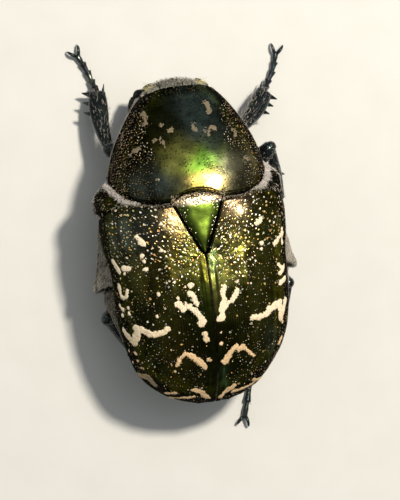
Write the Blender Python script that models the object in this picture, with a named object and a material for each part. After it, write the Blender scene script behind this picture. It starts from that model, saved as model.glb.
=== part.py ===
"""Copper chafer, a metallic flower chafer, at life size, standing with its head bent down.

The beetle faces -Y with +Z up, its left side is +X, and its feet stand on z = 0. Sizes are in
millimetres, and new_object turns them into metres. A station, called s, runs along the body from
the middle of the pronotum's front edge (s = 0) back to the tips of the elytra.
"""

import math

import bmesh
import bpy
import numpy as np
from mathutils import Vector

MM = 0.001
GAP = 0.3  # kept between any two pieces
SHELL = 0.5  # thickness of the elytra and the scutellum

# The forebody is turned a little to the beetle's right: its slope, and the station where that starts
FOREBODY_TURN = 0.048
WAIST = 6.6
WAIST_EASE = 0.8

# How the top of the beetle curves across: a superellipse from its side edge up to its crest
TOP_POWER = 2.35
UNDER_POWER = 2.1

# Half widths, crest heights and side edge heights along the body, as (station, size)
PRONOTUM_SIDE = ((0, 1.75), (0.8, 2.5), (2, 3.32), (3.5, 4.05), (5, 4.38), (6.6, 4.35))
PRONOTUM_CREST = ((0, 5.4), (1.2, 6.35), (2.6, 7.2), (4.2, 7.85), (6.6, 8.15))
PRONOTUM_EDGE = ((0, 4.2), (3, 4.55), (6.6, 5.1))
PROSTERNUM_KEEL = ((0, 3.5), (2, 3.2), (3.5, 2.85), (5.6, 2.7))
# Where the pronotum starts and ends, by share of its half width: a notched base with round corners
PRONOTUM_FRONT = ((0, 0), (0.6, 0.05), (1, 0.3))
PRONOTUM_BASE = ((0, 6.05), (0.15, 6.15), (0.34, 6.5), (0.55, 6.45), (0.8, 6.1), (0.93, 5.6), (1, 5.0))
PROSTERNUM_FRONT = 2.0
PROSTERNUM_REAR = 5.3
PROTHORAX_HUBS = ((1.0, 4.3), (5.6, 5.0))  # station and height of the middles of its two ends

ELYTRA_SIDE = ((6.2, 5.05), (7.2, 5.22), (8.5, 5.15), (10, 4.9), (12, 4.85), (13.5, 4.65),
               (15, 4.12), (16.1, 3.35), (17.0, 2.35), (17.5, 1.5), (17.7, 0.9))
ELYTRA_CREST = ((6.2, 8.1), (9, 8.4), (11, 8.4), (13, 8.15), (14.5, 7.65), (15.8, 6.95), (16.8, 6.1),
                (17.7, 5.0))
ELYTRA_EDGE = ((6.2, 5.1), (8, 5.2), (10, 5.5), (12, 5.15), (14, 4.8), (16, 4.6), (17.7, 4.45))
# Where the elytra start, by share of their half width: close behind the pronotum, shoulders rounded
ELYTRA_FRONT = ((0, 6.82), (0.5, 6.76), (0.7, 6.42), (0.85, 6.35), (0.95, 6.5), (1, 6.95))
ELYTRA_END = 17.7

# Swellings of each elytron: share of its half width, station, reach across and along, and height
ELYTRON_CALLI = ((0.8, 7.7, 0.16, 1.0, 0.14), (0.62, 15.6, 0.25, 0.9, 0.14))

SCUTELLUM_SIDE = ((6.4, 1.42), (7.2, 1.12), (8.2, 0.68), (9.0, 0.33), (9.35, 0.17), (9.5, 0.05))
SCUTELLUM_FRONT_BOW = 0.35
SCUTELLUM_CAMBER = 0.06

# The underside: half width at its widest, the height of that line, and the keel line
TRUNK_SIDE = ((6.0, 4.3), (7, 5.0), (8.5, 5.15), (9.8, 5.4), (10.7, 5.75), (11.1, 5.4), (12.2, 5.25),
              (13.2, 5.0), (14.5, 4.5), (15.5, 3.85), (16.3, 3.1), (16.9, 2.5))
TRUNK_SIDE_HEIGHT = ((6, 4.2), (9, 4.2), (10.8, 4.0), (12, 4.25), (15, 4.0), (16.9, 3.9))
TRUNK_KEEL = ((6.0, 2.3), (7.5, 1.9), (9.8, 1.8), (11.2, 1.95), (13, 2.1), (15, 2.5), (16.3, 2.9),
              (16.9, 3.2))
THORAX_FRONT_TOP = 6.85
THORAX_FRONT_UNDER = 5.9
THORAX_REAR = 10.9
THORAX_HUB_HEIGHTS = (5.0, 4.5)
ABDOMEN_HUB_HEIGHTS = (4.5, 4.0)
VENTRITES = (11.2, 12.3, 13.3, 14.3, 15.3, 16.4)
VENTRITE_STEP = 0.1
VENTRITE_SEAM = 0.25
DOME_LEAST = 0.3  # least height of the trunk's dome, at its two ends
LEDGE_LEAST = 0.1  # least width of the ledge under an elytron's edge, and how far its lip drops
LEDGE_DROP = 0.25
STERNAL_KNOB = ((0, 6.45, 2.1), (0.7, 0.6, 0.45))  # between the middle legs: centre and radii
PYGIDIUM_ROOT = 16.7
PYGIDIUM_HALF = (2.35, 0.95)  # half width and half height at its root
PYGIDIUM_BULGE = 0.75
PYGIDIUM_HEIGHT = 3.45

# Coxae: centre and radii on the left side, for each pair of legs
COXAE = {
    "front": ((1.15, 3.9, 2.7), (0.8, 0.75, 0.65)),
    "middle": ((1.75, 7.3, 2.1), (0.95, 0.6, 0.5)),
    "hind": ((2.2, 10.2, 2.1), (1.6, 0.55, 0.45)),
}
MESEPIMERON_CENTRE = (4.2, 5.9, 4.6)
MESEPIMERON_RADII = (1.25, 1.35, 1.7)

# The head hangs from the prothorax: a line down its middle, with half width and half thickness
HEAD_LINE = ((0.95, 4.15), (0.5, 3.6), (0.1, 2.95), (-0.1, 2.3), (-0.2, 1.75), (-0.25, 1.25))
HEAD_HALVES = ((1.35, 0.8), (1.6, 0.85), (1.5, 0.72), (1.22, 0.55), (1.22, 0.42), (1.15, 0.27))
HEAD_POWER = 2.5
# The raised rim of the clypeus, from its left side round its notched front end
CLYPEUS_RIM = ((1.2, -0.25, 2.2), (1.22, -0.38, 1.75), (1.15, -0.45, 1.3), (0.6, -0.46, 1.12),
               (0, -0.46, 1.22), (-0.6, -0.46, 1.12), (-1.15, -0.45, 1.3), (-1.22, -0.38, 1.75),
               (-1.2, -0.25, 2.2))
RIM_RADIUS = 0.14
EYE_CENTRE = (1.52, 0.28, 3.2)
EYE_RADII = (0.4, 0.42, 0.52)
PALP_LINE = ((0.55, 0.25, 1.9), (0.75, 0.7, 1.6), (0.7, 1.15, 1.45))
PALP_RADIUS = 0.25

ANTENNA_LINE = ((1.72, -0.1, 2.4), (2.1, -0.02, 2.24), (2.35, 0.38, 2.12), (2.42, 0.9, 2.05))
ANTENNA_HALVES = ((0.25, 0.25), (0.29, 0.27), (0.25, 0.25), (0.27, 0.27))
# The club's three leaves: the middle one's line, how far the next ones lie beside it, and their shape
LEAF_LINE = ((2.37, 0.72, 2.08), (2.48, 1.22, 2.03), (2.62, 1.7, 1.98), (2.77, 2.15, 1.94))
LEAF_SPREAD = 0.17
LEAF_HALVES = ((0.15, 0.12), (0.34, 0.13), (0.36, 0.13), (0.14, 0.1))

# Legs: where each femur leaves its coxa, the knee, the ankle, and the tarsus to its claw joint.
LEGS = {
    "front_left": ((1.2, 3.9, 1.75), (3.85, 3.0, 2.6), (4.05, -0.5, 0.95),
                   ((4.2, -1.05, 0.4), (4.5, -1.95, 0.25), (4.95, -2.8, 0.25))),
    "front_right": ((-1.2, 3.9, 1.75), (-3.6, 2.8, 2.8), (-5.7, 0.6, 0.95),
                    ((-6.0, 0.1, 0.4), (-6.45, -0.7, 0.25), (-6.7, -1.6, 0.25))),
    "middle_left": ((1.5, 7.3, 1.2), (4.75, 9.2, 2.3), (4.0, 11.8, 0.9),
                    ((3.7, 12.3, 0.4), (2.95, 13.05, 0.25), (1.85, 13.6, 0.25))),
    "middle_right": ((-1.7, 6.8, 1.25), (-5.3, 4.15, 2.65), (-5.5, 6.9, 0.95),
                     ((-5.6, 7.45, 0.4), (-5.65, 8.35, 0.25), (-5.5, 9.25, 0.25), (-5.2, 10.05, 0.25))),
    "hind_left": ((1.5, 10.4, 1.15), (5.25, 12.45, 2.4), (2.9, 15.2, 0.9),
                  ((2.6, 15.75, 0.45), (2.0, 16.5, 0.25), (0.9, 16.95, 0.25), (-0.4, 17.0, 0.25))),
    "hind_right": ((-1.5, 10.4, 1.15), (-5.75, 11.8, 2.4), (-4.6, 15.2, 0.9),
                   ((-4.3, 15.65, 0.45), (-3.55, 16.35, 0.28), (-2.95, 17.2, 0.25), (-2.65, 18.2, 0.25),
                    (-2.35, 19.1, 0.25))),
}
FEMUR_BOW = Vector((0, 0, -0.12))
TIBIA_BOW = 0.12
# How far each limb starts or stops short of its joint
FEMUR_SHORT = 0.1
TIBIA_SHORT = (0.12, 0.05)
TARSUS_SHORT = 0.42
# Half width and half thickness of a femur and a tibia at even steps from root to end
FEMUR_HALVES = ((0.42, 0.36), (0.62, 0.42), (0.68, 0.42), (0.58, 0.38), (0.42, 0.34))
TIBIA_HALVES = {
    "front": ((0.28, 0.26), (0.36, 0.26), (0.44, 0.27), (0.52, 0.27), (0.46, 0.26)),
    "middle": ((0.28, 0.26), (0.33, 0.28), (0.4, 0.3), (0.46, 0.34), (0.48, 0.36)),
    "hind": ((0.28, 0.26), (0.34, 0.28), (0.42, 0.3), (0.5, 0.34), (0.54, 0.38)),
}
# Teeth on a tibia's outer edge, as shares of its length, and the spurs at its end
TIBIA_TEETH = {"front": (0.62, 0.8, 0.97), "middle": (0.55,), "hind": (0.6,)}
TOOTH_SUNK = 0.1  # from the tibia's middle line
TOOTH_REACH = (0.85, 0.3)  # outwards and along, from the middle line
TOOTH_RADIUS = 0.26
SPUR_REACH = 0.48
SPUR_INWARD = 0.3
SPUR_SWAY = 0.25  # half the fork between the two spurs
SPUR_RADIUS = 0.13
TARSOMERES = 5
TARSUS_RADII = (0.25, 0.3)  # at the narrow root and the wide end of a tarsomere
CLAW_REACH = 0.6
CLAW_FORK = 0.38  # from the tarsus's middle line out to each claw's tip
CLAW_ARCH = 0.12
CLAW_TIP_HEIGHT = 0.08
CLAW_RADIUS = 0.15

COLOURS = {
    "bronze": ((0.055, 0.065, 0.022), 0.28, 0.9),
    "green": ((0.08, 0.17, 0.03), 0.3, 0.9),
    "black": ((0.02, 0.02, 0.016), 0.35, 0.4),
    "eye": ((0.03, 0.02, 0.015), 0.2, 0.0),
}


def smooth(stations, s):
    """A monotone cubic through (station, value) pairs, level beyond their ends."""
    knots, values = np.array(stations, float).T
    step = np.diff(knots)
    slope = np.diff(values) / step
    tangent = np.zeros_like(values)
    tangent[0], tangent[-1] = slope[0], slope[-1]
    before, after = slope[:-1], slope[1:]
    same = before * after > 0
    tangent[1:-1][same] = 2 * before[same] * after[same] / (before + after)[same]
    s = np.clip(s, knots[0], knots[-1])
    i = np.clip(np.searchsorted(knots, s, side="right") - 1, 0, len(step) - 1)
    t = (s - knots[i]) / step[i]
    value = (1 + 2 * t) * (1 - t) ** 2 * values[i] + t * (1 - t) ** 2 * step[i] * tangent[i]
    return value + t * t * (3 - 2 * t) * values[i + 1] + t * t * (t - 1) * step[i] * tangent[i + 1]


def arch(turn, power):
    """Shares of half width and height on a superellipse, at a turn from 0 (crest) to +-1 (sides)."""
    angle = turn * math.pi / 2
    across = math.copysign(abs(math.sin(angle)) ** (2 / power), turn)
    return across, max(0.0, math.cos(angle)) ** (2 / power)


def arch_turn(share, power):
    """The turn at which the arch is this share of its half width out."""
    return math.asin(min(1.0, max(0.0, share)) ** (power / 2)) * 2 / math.pi


def along(points, t):
    """A point on a smooth curve through the points, at a share t of their number of spans."""
    points = [Vector(p) for p in points]
    at = min(max(t, 0.0), 1.0) * (len(points) - 1)
    i = min(int(at), len(points) - 2)
    f = at - i
    a, b = points[i], points[i + 1]
    before = points[i - 1] if i else a - (b - a)
    after = points[i + 2] if i + 2 < len(points) else b + (b - a)
    return 0.5 * (2 * a + (b - before) * f + (2 * before - 5 * a + 4 * b - after) * f**2
                  + (3 * a - before - 3 * b + after) * f**3)


def material(name):
    """The named material, made once."""
    if name in bpy.data.materials:
        return bpy.data.materials[name]
    colour, roughness, metallic = COLOURS[name]
    made = bpy.data.materials.new(name)
    made.use_nodes = True
    shader = made.node_tree.nodes["Principled BSDF"]
    shader.inputs["Base Color"].default_value = (*colour, 1)
    shader.inputs["Roughness"].default_value = roughness
    shader.inputs["Metallic"].default_value = metallic
    made.diffuse_color = (*colour, 1)
    return made


def forebody_shift(s):
    """How far a point at this station lies to the side, for the slight turn of the forebody."""
    ahead = max(0.0, WAIST - s)
    return FOREBODY_TURN * ahead**2 / (ahead + WAIST_EASE)


def new_object(name, mesh_in_mm, finish):
    """An object from a bmesh in millimetres, its forebody turned and its faces outwards."""
    for vert in mesh_in_mm.verts:
        vert.co.x -= forebody_shift(vert.co.y)
    bmesh.ops.recalc_face_normals(mesh_in_mm, faces=mesh_in_mm.faces)
    bmesh.ops.scale(mesh_in_mm, vec=(MM, MM, MM), verts=mesh_in_mm.verts)
    mesh = bpy.data.meshes.new(name)
    mesh_in_mm.to_mesh(mesh)
    mesh_in_mm.free()
    mesh.shade_smooth()
    mesh.set_sharp_from_angle(angle=math.radians(50))
    made = bpy.data.objects.new(name, mesh)
    made.data.materials.append(material(finish))
    bpy.context.scene.collection.objects.link(made)
    return made


def loft(name, rings, finish, ends=None):
    """A closed body through rings of equal count, its ends fanned to a centre point each."""
    body = bmesh.new()
    rows = [[body.verts.new(p) for p in ring] for ring in rings]
    for row, following in zip(rows, rows[1:]):
        for i in range(len(row)):
            j = (i + 1) % len(row)
            body.faces.new((row[i], row[j], following[j], following[i]))
    centres = ends or [np.mean(np.array(ring, float), axis=0) for ring in (rings[0], rings[-1])]
    for row, centre in zip((rows[0], rows[-1]), centres):
        hub = body.verts.new(centre)
        for i in range(len(row)):
            body.faces.new((row[i], row[(i + 1) % len(row)], hub))
    return new_object(name, body, finish)


def sweep(name, line, halves, finish, up, steps=8, sides=10, tip=0.35, power=2.0):
    """A closed limb along a smooth line. halves gives (half width, half thickness) at even steps,
    the width across the up direction, tip how far its ends swell out, by half thickness, and power
    how square its section is."""
    widths = [(i / (len(halves) - 1), h[0]) for i, h in enumerate(halves)]
    depths = [(i / (len(halves) - 1), h[1]) for i, h in enumerate(halves)]
    rings = []
    for k in range(steps + 1):
        t = k / steps
        ahead = along(line, t + 0.01) - along(line, t - 0.01) if 0 < t < 1 else (
            along(line, 0.02) - along(line, 0) if t == 0 else along(line, 1) - along(line, 0.98))
        ahead.normalize()
        wide = ahead.cross(Vector(up)).normalized()
        deep = wide.cross(ahead)
        half_wide, half_deep = float(smooth(widths, t)), float(smooth(depths, t))
        ring = []
        for i in range(sides):
            turn = 2 * math.pi * i / sides
            x, y = (math.copysign(abs(c) ** (2 / power), c) for c in (math.cos(turn), math.sin(turn)))
            ring.append(along(line, t) + wide * half_wide * x + deep * half_deep * y)
        rings.append(ring)
        if k == 0:
            first = along(line, 0) - ahead * tip * half_deep
    last = along(line, 1) + ahead * tip * half_deep
    return loft(name, rings, finish, ends=(first, last))


def ellipsoid(name, centre, radii, finish, segments=16):
    """A closed ellipsoid."""
    body = bmesh.new()
    bmesh.ops.create_uvsphere(body, u_segments=segments, v_segments=segments // 2, radius=1)
    bmesh.ops.scale(body, vec=radii, verts=body.verts)
    bmesh.ops.translate(body, vec=centre, verts=body.verts)
    return new_object(name, body, finish)


def spike(name, root, tip, radius, finish, sides=6, blunt=0.3):
    """A tooth or a spur: a cone from its sunk root to a blunted tip."""
    body = bmesh.new()
    root, tip = Vector(root), Vector(tip)
    bmesh.ops.create_cone(body, cap_ends=True, segments=sides, radius1=radius, radius2=radius * blunt,
                          depth=(tip - root).length)
    turn = (tip - root).to_track_quat("Z", "Y").to_matrix()
    bmesh.ops.rotate(body, cent=(0, 0, 0), matrix=turn, verts=body.verts)
    bmesh.ops.translate(body, vec=(root + tip) / 2, verts=body.verts)
    return new_object(name, body, finish)


def bake(obj):
    """Applies the object's modifiers."""
    graph = bpy.context.evaluated_depsgraph_get()
    mesh = bpy.data.meshes.new_from_object(obj.evaluated_get(graph))
    obj.modifiers.clear()
    obj.data = mesh


def keep_largest(obj):
    """Deletes all but the largest closed surface of the object's mesh."""
    body = bmesh.new()
    body.from_mesh(obj.data)
    unseen, islands = set(body.verts), []
    while unseen:
        island, edge_of = set(), [unseen.pop()]
        while edge_of:
            vert = edge_of.pop()
            island.add(vert)
            near = {e.other_vert(vert) for e in vert.link_edges} & unseen
            unseen -= near
            edge_of.extend(near)
        islands.append(island)
    islands.sort(key=lambda island: -sum(f.calc_area() for v in island for f in v.link_faces))
    bmesh.ops.delete(body, geom=[v for island in islands[1:] for v in island], context="VERTS")
    body.to_mesh(obj.data)
    body.free()


def fuse(base, pieces):
    """Joins the pieces to the base in one Boolean union."""
    group = bpy.data.collections.new(base.name + "_pieces")
    bpy.context.scene.collection.children.link(group)
    for piece in pieces:
        bpy.context.scene.collection.objects.unlink(piece)
        group.objects.link(piece)
    union = base.modifiers.new("Union", "BOOLEAN")
    union.operation = "UNION"
    union.operand_type = "COLLECTION"
    union.collection = group
    bake(base)
    for piece in pieces:
        bpy.data.objects.remove(piece)
    bpy.data.collections.remove(group)
    keep_largest(base)
    return base


def trim(obj, cutters):
    """Cuts the object clear of the cutters, which are kept."""
    for cutter in cutters:
        cut = obj.modifiers.new("Trim", "BOOLEAN")
        cut.operation = "DIFFERENCE"
        cut.object = cutter
        bake(obj)
    keep_largest(obj)
    return obj


def prothorax(name, grow=0.0, columns=20, rows=12):
    """The pronotum with the prosternum under it, one ring of cuticle, grown all round for a cutter."""
    rings = []
    for k in range(rows + 1):
        v = math.sin(k / rows * math.pi / 2) ** 1.1
        ring = []
        for i in range(columns + 1):
            across, up = arch(2 * i / columns - 1, TOP_POWER)
            front = smooth(PRONOTUM_FRONT, abs(across)) - grow
            s = front + (smooth(PRONOTUM_BASE, abs(across)) + grow - front) * v
            edge = smooth(PRONOTUM_EDGE, s)
            rise = smooth(PRONOTUM_CREST, s) + grow - edge
            ring.append((across * (smooth(PRONOTUM_SIDE, s) + grow), s, edge + rise * up))
        for i in range(1, columns):
            across, down = arch(1 - 2 * i / columns, UNDER_POWER)
            front = smooth(PRONOTUM_FRONT, 1) + (PROSTERNUM_FRONT - smooth(PRONOTUM_FRONT, 1)) * down - grow
            rear = smooth(PRONOTUM_BASE, 1) + (PROSTERNUM_REAR - smooth(PRONOTUM_BASE, 1)) * down + grow
            s = front + (rear - front) * v
            edge = smooth(PRONOTUM_EDGE, s)
            drop = edge - smooth(PROSTERNUM_KEEL, s) + grow
            ring.append((across * (smooth(PRONOTUM_SIDE, s) + grow), s, edge - drop * down))
        rings.append(ring)
    (front, front_height), (rear, rear_height) = PROTHORAX_HUBS
    return loft(name, rings, "bronze", ends=((0, front - grow, front_height), (0, rear + grow, rear_height)))


def trunk_ring(station, grow, columns=16):
    """A ring of the body under the elytra: a dome inside them, a ledge below their edge, the underside.
    station says where a point lies by its turn: 0 on the crest, 1 at the sides and 2 on the keel."""
    inset = SHELL + GAP - grow
    turns = np.linspace(-1, 1, columns + 1)
    dome, under = [], []
    for turn in turns:
        across, up = arch(turn, TOP_POWER)
        s = station(abs(turn))
        ledge = smooth(ELYTRA_EDGE, s) - GAP + grow
        rise = max(smooth(ELYTRA_CREST, s) - inset - ledge, DOME_LEAST)
        dome.append((across * (smooth(ELYTRA_SIDE, s) - inset), s, ledge + rise * up))
    for turn in turns[::-1]:
        across, down = arch(turn, UNDER_POWER)
        s = station(2 - abs(turn))
        side = max(smooth(TRUNK_SIDE, s), smooth(ELYTRA_SIDE, s) - inset + LEDGE_LEAST) + grow
        height = smooth(TRUNK_SIDE_HEIGHT, s)
        drop = height - smooth(TRUNK_KEEL, s) + grow
        under.append((across * side, s, height - drop * down))
    lips = [(x, s, smooth(ELYTRA_EDGE, s) - GAP - LEDGE_DROP) for x, s, _ in (under[0], under[-1])]
    return dome + lips[:1] + under + lips[1:]


def pterothorax(name, grow=0.0, rows=8):
    """The middle and hind thorax in one, its front leaning in under the prothorax."""
    rings = []
    for k in range(rows + 1):
        def station(turn, share=k / rows):
            lean = max(0.0, turn - 1) ** 0.7
            front = THORAX_FRONT_TOP + (THORAX_FRONT_UNDER - THORAX_FRONT_TOP) * lean - grow
            return front + (THORAX_REAR + grow - front) * share
        rings.append(trunk_ring(station, grow))
    front_height, rear_height = THORAX_HUB_HEIGHTS
    ends = ((0, THORAX_FRONT_TOP - grow - 0.1, front_height), (0, THORAX_REAR + grow, rear_height))
    return loft(name, rings, "black", ends=ends)


def abdomen(name, grow=0.0):
    """The belly, in plates that each step down behind the one before."""
    rings = []
    for front, rear in zip(VENTRITES, VENTRITES[1:]):
        for s, sunk in ((front, VENTRITE_STEP), (front + VENTRITE_SEAM, 0), (rear - VENTRITE_STEP / 2, 0)):
            rings.append(trunk_ring(lambda turn, at=s: at, grow - sunk))
    front_height, rear_height = ABDOMEN_HUB_HEIGHTS
    ends = ((0, VENTRITES[0], front_height), (0, VENTRITES[-1] - VENTRITE_STEP / 2, rear_height))
    return loft(name, rings, "bronze", ends=ends)


def pygidium():
    """The domed last plate, facing back under the elytra's tips."""
    rings = []
    for k in range(5):
        angle = k / 5 * math.pi / 2
        s = PYGIDIUM_ROOT + PYGIDIUM_BULGE * math.sin(angle)
        wide, tall = (h * math.cos(angle) for h in PYGIDIUM_HALF)
        rings.append([(wide * math.cos(a), s, PYGIDIUM_HEIGHT + tall * math.sin(a))
                      for a in np.linspace(0, 2 * math.pi, 20, endpoint=False)])
    tip = (0, PYGIDIUM_ROOT + PYGIDIUM_BULGE, PYGIDIUM_HEIGHT)
    return loft("pygidium", rings, "bronze", ends=((0, PYGIDIUM_ROOT, PYGIDIUM_HEIGHT), tip))


def elytron(name, side, columns=12, rows=24):
    """One wing case: an arched shell that opens round the scutellum and ends blunt."""
    shell = bmesh.new()
    grid = []
    for k in range(rows + 1):
        v = math.sin(k / rows * math.pi / 2) ** 1.15
        line = []
        for i in range(columns + 1):
            u = i / columns
            front = smooth(ELYTRA_FRONT, arch(u, TOP_POWER)[0])
            s = front + (ELYTRA_END - front) * v
            inner = (smooth(SCUTELLUM_SIDE, s) if s < SCUTELLUM_SIDE[-1][0] else 0) + GAP / 2
            half = smooth(ELYTRA_SIDE, s)
            first = arch_turn(inner / half, TOP_POWER)
            across, up = arch(first + (1 - first) * u, TOP_POWER)
            edge = smooth(ELYTRA_EDGE, s)
            rise = smooth(ELYTRA_CREST, s) - edge
            swell = sum(high * math.exp(-((across - x) / wide) ** 2 - ((s - y) / far) ** 2)
                        for x, y, wide, far, high in ELYTRON_CALLI)
            line.append(shell.verts.new((side * across * (half + swell * 0.5), s, edge + rise * up + swell)))
        grid.append(line)
    for row, following in zip(grid, grid[1:]):
        for i in range(columns):
            corners = (row[i], following[i], following[i + 1], row[i + 1])
            shell.faces.new(corners if side > 0 else corners[::-1])
    shell.normal_update()
    if sum(f.normal.z for f in shell.faces) < 0:
        bmesh.ops.reverse_faces(shell, faces=shell.faces)
    bmesh.ops.solidify(shell, geom=shell.faces[:], thickness=SHELL)
    return new_object(name, shell, "bronze")


def elytra_block(grow, columns=20, rows=14):
    """Both wing cases as one grown block, to cut other pieces clear of them."""
    rings = []
    for k in range(rows + 1):
        v = math.sin(k / rows * math.pi / 2) ** 1.15
        ring = []
        for i in range(columns + 1):
            across, up = arch(2 * i / columns - 1, TOP_POWER)
            front = smooth(ELYTRA_FRONT, abs(across)) - grow
            s = front + (ELYTRA_END - front) * v
            edge = smooth(ELYTRA_EDGE, s) - grow
            rise = smooth(ELYTRA_CREST, s) + grow - edge
            ring.append((across * (smooth(ELYTRA_SIDE, s) + grow), s, edge + rise * up))
        rings.append(ring)
    ends = ((0, ELYTRA_FRONT[0][1] - grow, 6), (0, ELYTRA_END, 4.2))
    return loft("elytra_cutter", rings, "bronze", ends=ends)


def scutellum():
    """The long shield between the elytra, its front edge bowed into the pronotum's notch."""
    rings = []
    first, last = SCUTELLUM_SIDE[0][0], SCUTELLUM_SIDE[-1][0] - 0.15
    for k in range(9):
        s = first + (last - first) * k / 8
        half = float(smooth(SCUTELLUM_SIDE, s)) - GAP / 2 + 0.02
        bow = SCUTELLUM_FRONT_BOW * (1 - k / 8)
        top = float(smooth(ELYTRA_CREST, s))
        shares = (-1, -0.5, 0, 0.5, 1)
        upper = [(half * x, s + bow * x * x, top - SCUTELLUM_CAMBER * x * x) for x in shares]
        lower = [(half * x, s + bow * x * x, top - SHELL) for x in shares[::-1]]
        rings.append(upper + lower)
    return loft("scutellum", rings, "green")


def head(cutters):
    """The head capsule, bent down, wide at the eyes and flat at the rimmed clypeus, with two palps."""
    line = [(0, s, z) for s, z in HEAD_LINE]
    skull = sweep("head", line, HEAD_HALVES, "black", up=(0, -1, 0.2), steps=12, sides=20, tip=0.1,
                  power=HEAD_POWER)
    palps = []
    for side in (1, -1):
        palp = [(side * x, y, z) for x, y, z in PALP_LINE]
        palps.append(sweep("palp", palp, ((PALP_RADIUS,) * 2,) * 2, "black", up=(0, 0, 1), steps=3, sides=6))
    rim = sweep("rim", CLYPEUS_RIM, ((RIM_RADIUS,) * 2,) * 2, "black", up=(0, 1, 0), steps=20, sides=6)
    fuse(skull, palps + [rim])
    sockets = [ellipsoid("socket", (side * EYE_CENTRE[0], *EYE_CENTRE[1:]), [r + GAP for r in EYE_RADII],
                         "black") for side in (1, -1)]
    trim(skull, sockets + cutters)
    for socket in sockets:
        bpy.data.objects.remove(socket)
    return skull


def antenna(name, side):
    """A bent scape and stalk with a club of three leaves held nearly shut."""
    line = [(side * x, y, z) for x, y, z in ANTENNA_LINE]
    stalk = sweep(name, line, ANTENNA_HALVES, "black", up=(0, 0, 1), steps=8, sides=8)
    leaves = []
    for place in (-1, 0, 1):
        leaf = [(side * (x + place * LEAF_SPREAD * (0.4 + 0.2 * i)), y, z)
                for i, (x, y, z) in enumerate(LEAF_LINE)]
        leaves.append(sweep("leaf", leaf, LEAF_HALVES, "black", up=(1, 0, 0), steps=6, sides=8))
    return fuse(stalk, leaves)


def tarsus(name, line):
    """Five tarsomeres, each widening to its end, and a pair of claws."""
    halves = []
    narrow, wide = TARSUS_RADII
    for _ in range(TARSOMERES):
        halves += [(narrow, narrow), (wide, wide)]
    foot = sweep(name, line, halves, "black", up=(0, 0, 1), steps=2 * TARSOMERES - 1, sides=8)
    end = along(line, 1)
    ahead = (end - along(line, 0.95)).normalized()
    across = ahead.cross(Vector((0, 0, 1))).normalized()
    claws = []
    for side in (1, -1):
        root = end - ahead * 0.1
        tip = end + ahead * CLAW_REACH + across * side * CLAW_FORK
        middle = end.lerp(tip, 0.5) + across * side * 0.1 + Vector((0, 0, CLAW_ARCH))
        tip.z = CLAW_TIP_HEIGHT
        halves = ((CLAW_RADIUS, CLAW_RADIUS), (CLAW_RADIUS * 0.8,) * 2, (CLAW_RADIUS * 0.4,) * 2)
        claws.append(sweep("claw", (root, middle, tip), halves, "black", up=(0, 0, 1), steps=4, sides=6))
    fuse(foot, claws)
    for vert in foot.data.vertices:  # small flats where it stands
        vert.co.z = max(vert.co.z, 0.0)
    return foot


def tibia(name, pair, knee, ankle, side):
    """The shin, widening to its end, with teeth on its outer edge and two spurs at the end."""
    knee, ankle = Vector(knee), Vector(ankle)
    ahead = (ankle - knee).normalized()
    up = Vector((0, 0, 1)) if pair == "front" else Vector((side * 0.3, 0, 1))
    outward = ahead.cross(up).normalized()
    if outward.x * side < 0:
        outward = -outward
    line = (knee, knee.lerp(ankle, 0.5) + outward * TIBIA_BOW, ankle)
    shin = sweep(name, line, TIBIA_HALVES[pair], "black", up=up, steps=7, sides=10)
    extras = []
    for share in TIBIA_TEETH[pair]:
        centre = along(line, share)
        root = centre + outward * TOOTH_SUNK
        tip = centre + outward * TOOTH_REACH[0] + ahead * TOOTH_REACH[1]
        extras.append(spike("tooth", root, tip, TOOTH_RADIUS, "black"))
    for sway in (SPUR_SWAY, -SPUR_SWAY):
        root = ankle - ahead * 0.2 - outward * (0.2 + sway * 0.4)
        tip = ankle + ahead * SPUR_REACH - outward * (SPUR_INWARD + sway * 0.8)
        extras.append(spike("spur", root, tip, SPUR_RADIUS, "black"))
    return fuse(shin, extras)


def shortened(start, end, first, last):
    """The span from start to end with this much taken off each end."""
    start, end = Vector(start), Vector(end)
    ahead = (end - start).normalized()
    return start + ahead * first, end - ahead * last


def femur(name, coxa, knee, grow=0.0):
    """The thigh, thickest before its middle, grown all round for a cutter."""
    root, end = shortened(coxa, knee, 0, FEMUR_SHORT)
    halves = [(wide + grow, deep + grow) for wide, deep in FEMUR_HALVES]
    return sweep(name, (root, (root + end) / 2 + FEMUR_BOW, end), halves, "black", up=(0, 0, 1),
                 steps=7, sides=10)


def leg(name, cutters):
    """Femur, tibia and tarsus, end to end with a gap between each."""
    coxa, knee, ankle, toes = LEGS[name]
    pair = name.split("_")[0]
    side = 1 if name.endswith("left") else -1
    trim(femur("femur_" + name, coxa, knee), cutters)
    top, bottom = shortened(knee, ankle, *TIBIA_SHORT)
    knee_cutter = femur("knee_cutter", coxa, knee, GAP)
    trim(tibia("tibia_" + name, pair, top, bottom, side), [knee_cutter])
    bpy.data.objects.remove(knee_cutter)
    first, _ = shortened(ankle, toes[0], TARSUS_SHORT, 0)
    tarsus("tarsus_" + name, (first, *toes))


def coxa_lumps(pair, grow=0.0):
    """The rounded bases of a pair of legs, grown all round for a cutter."""
    (x, y, z), radii = COXAE[pair]
    return [ellipsoid("coxa", (side * x, y, z), [r + grow for r in radii], "black", segments=12)
            for side in (1, -1)]


def mesepimeron(name, side, cutters):
    """The side plate that shows between the pronotum's hind corner and the elytron's shoulder."""
    x, y, z = MESEPIMERON_CENTRE
    return trim(ellipsoid(name, (side * x, y, z), MESEPIMERON_RADII, "bronze", segments=18), cutters)


def stand_on_floor_centre():
    """Moves every object so that the middle of the model's outline is over the origin."""
    bpy.context.view_layer.update()
    shown = [o for o in bpy.data.objects if o.type == "MESH"]
    corners = np.array([v.co for o in shown for v in o.data.vertices])
    low, high = corners.min(axis=0), corners.max(axis=0)
    for o in shown:
        for vert in o.data.vertices:
            vert.co.x -= (low[0] + high[0]) / 2
            vert.co.y -= (low[1] + high[1]) / 2


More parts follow.
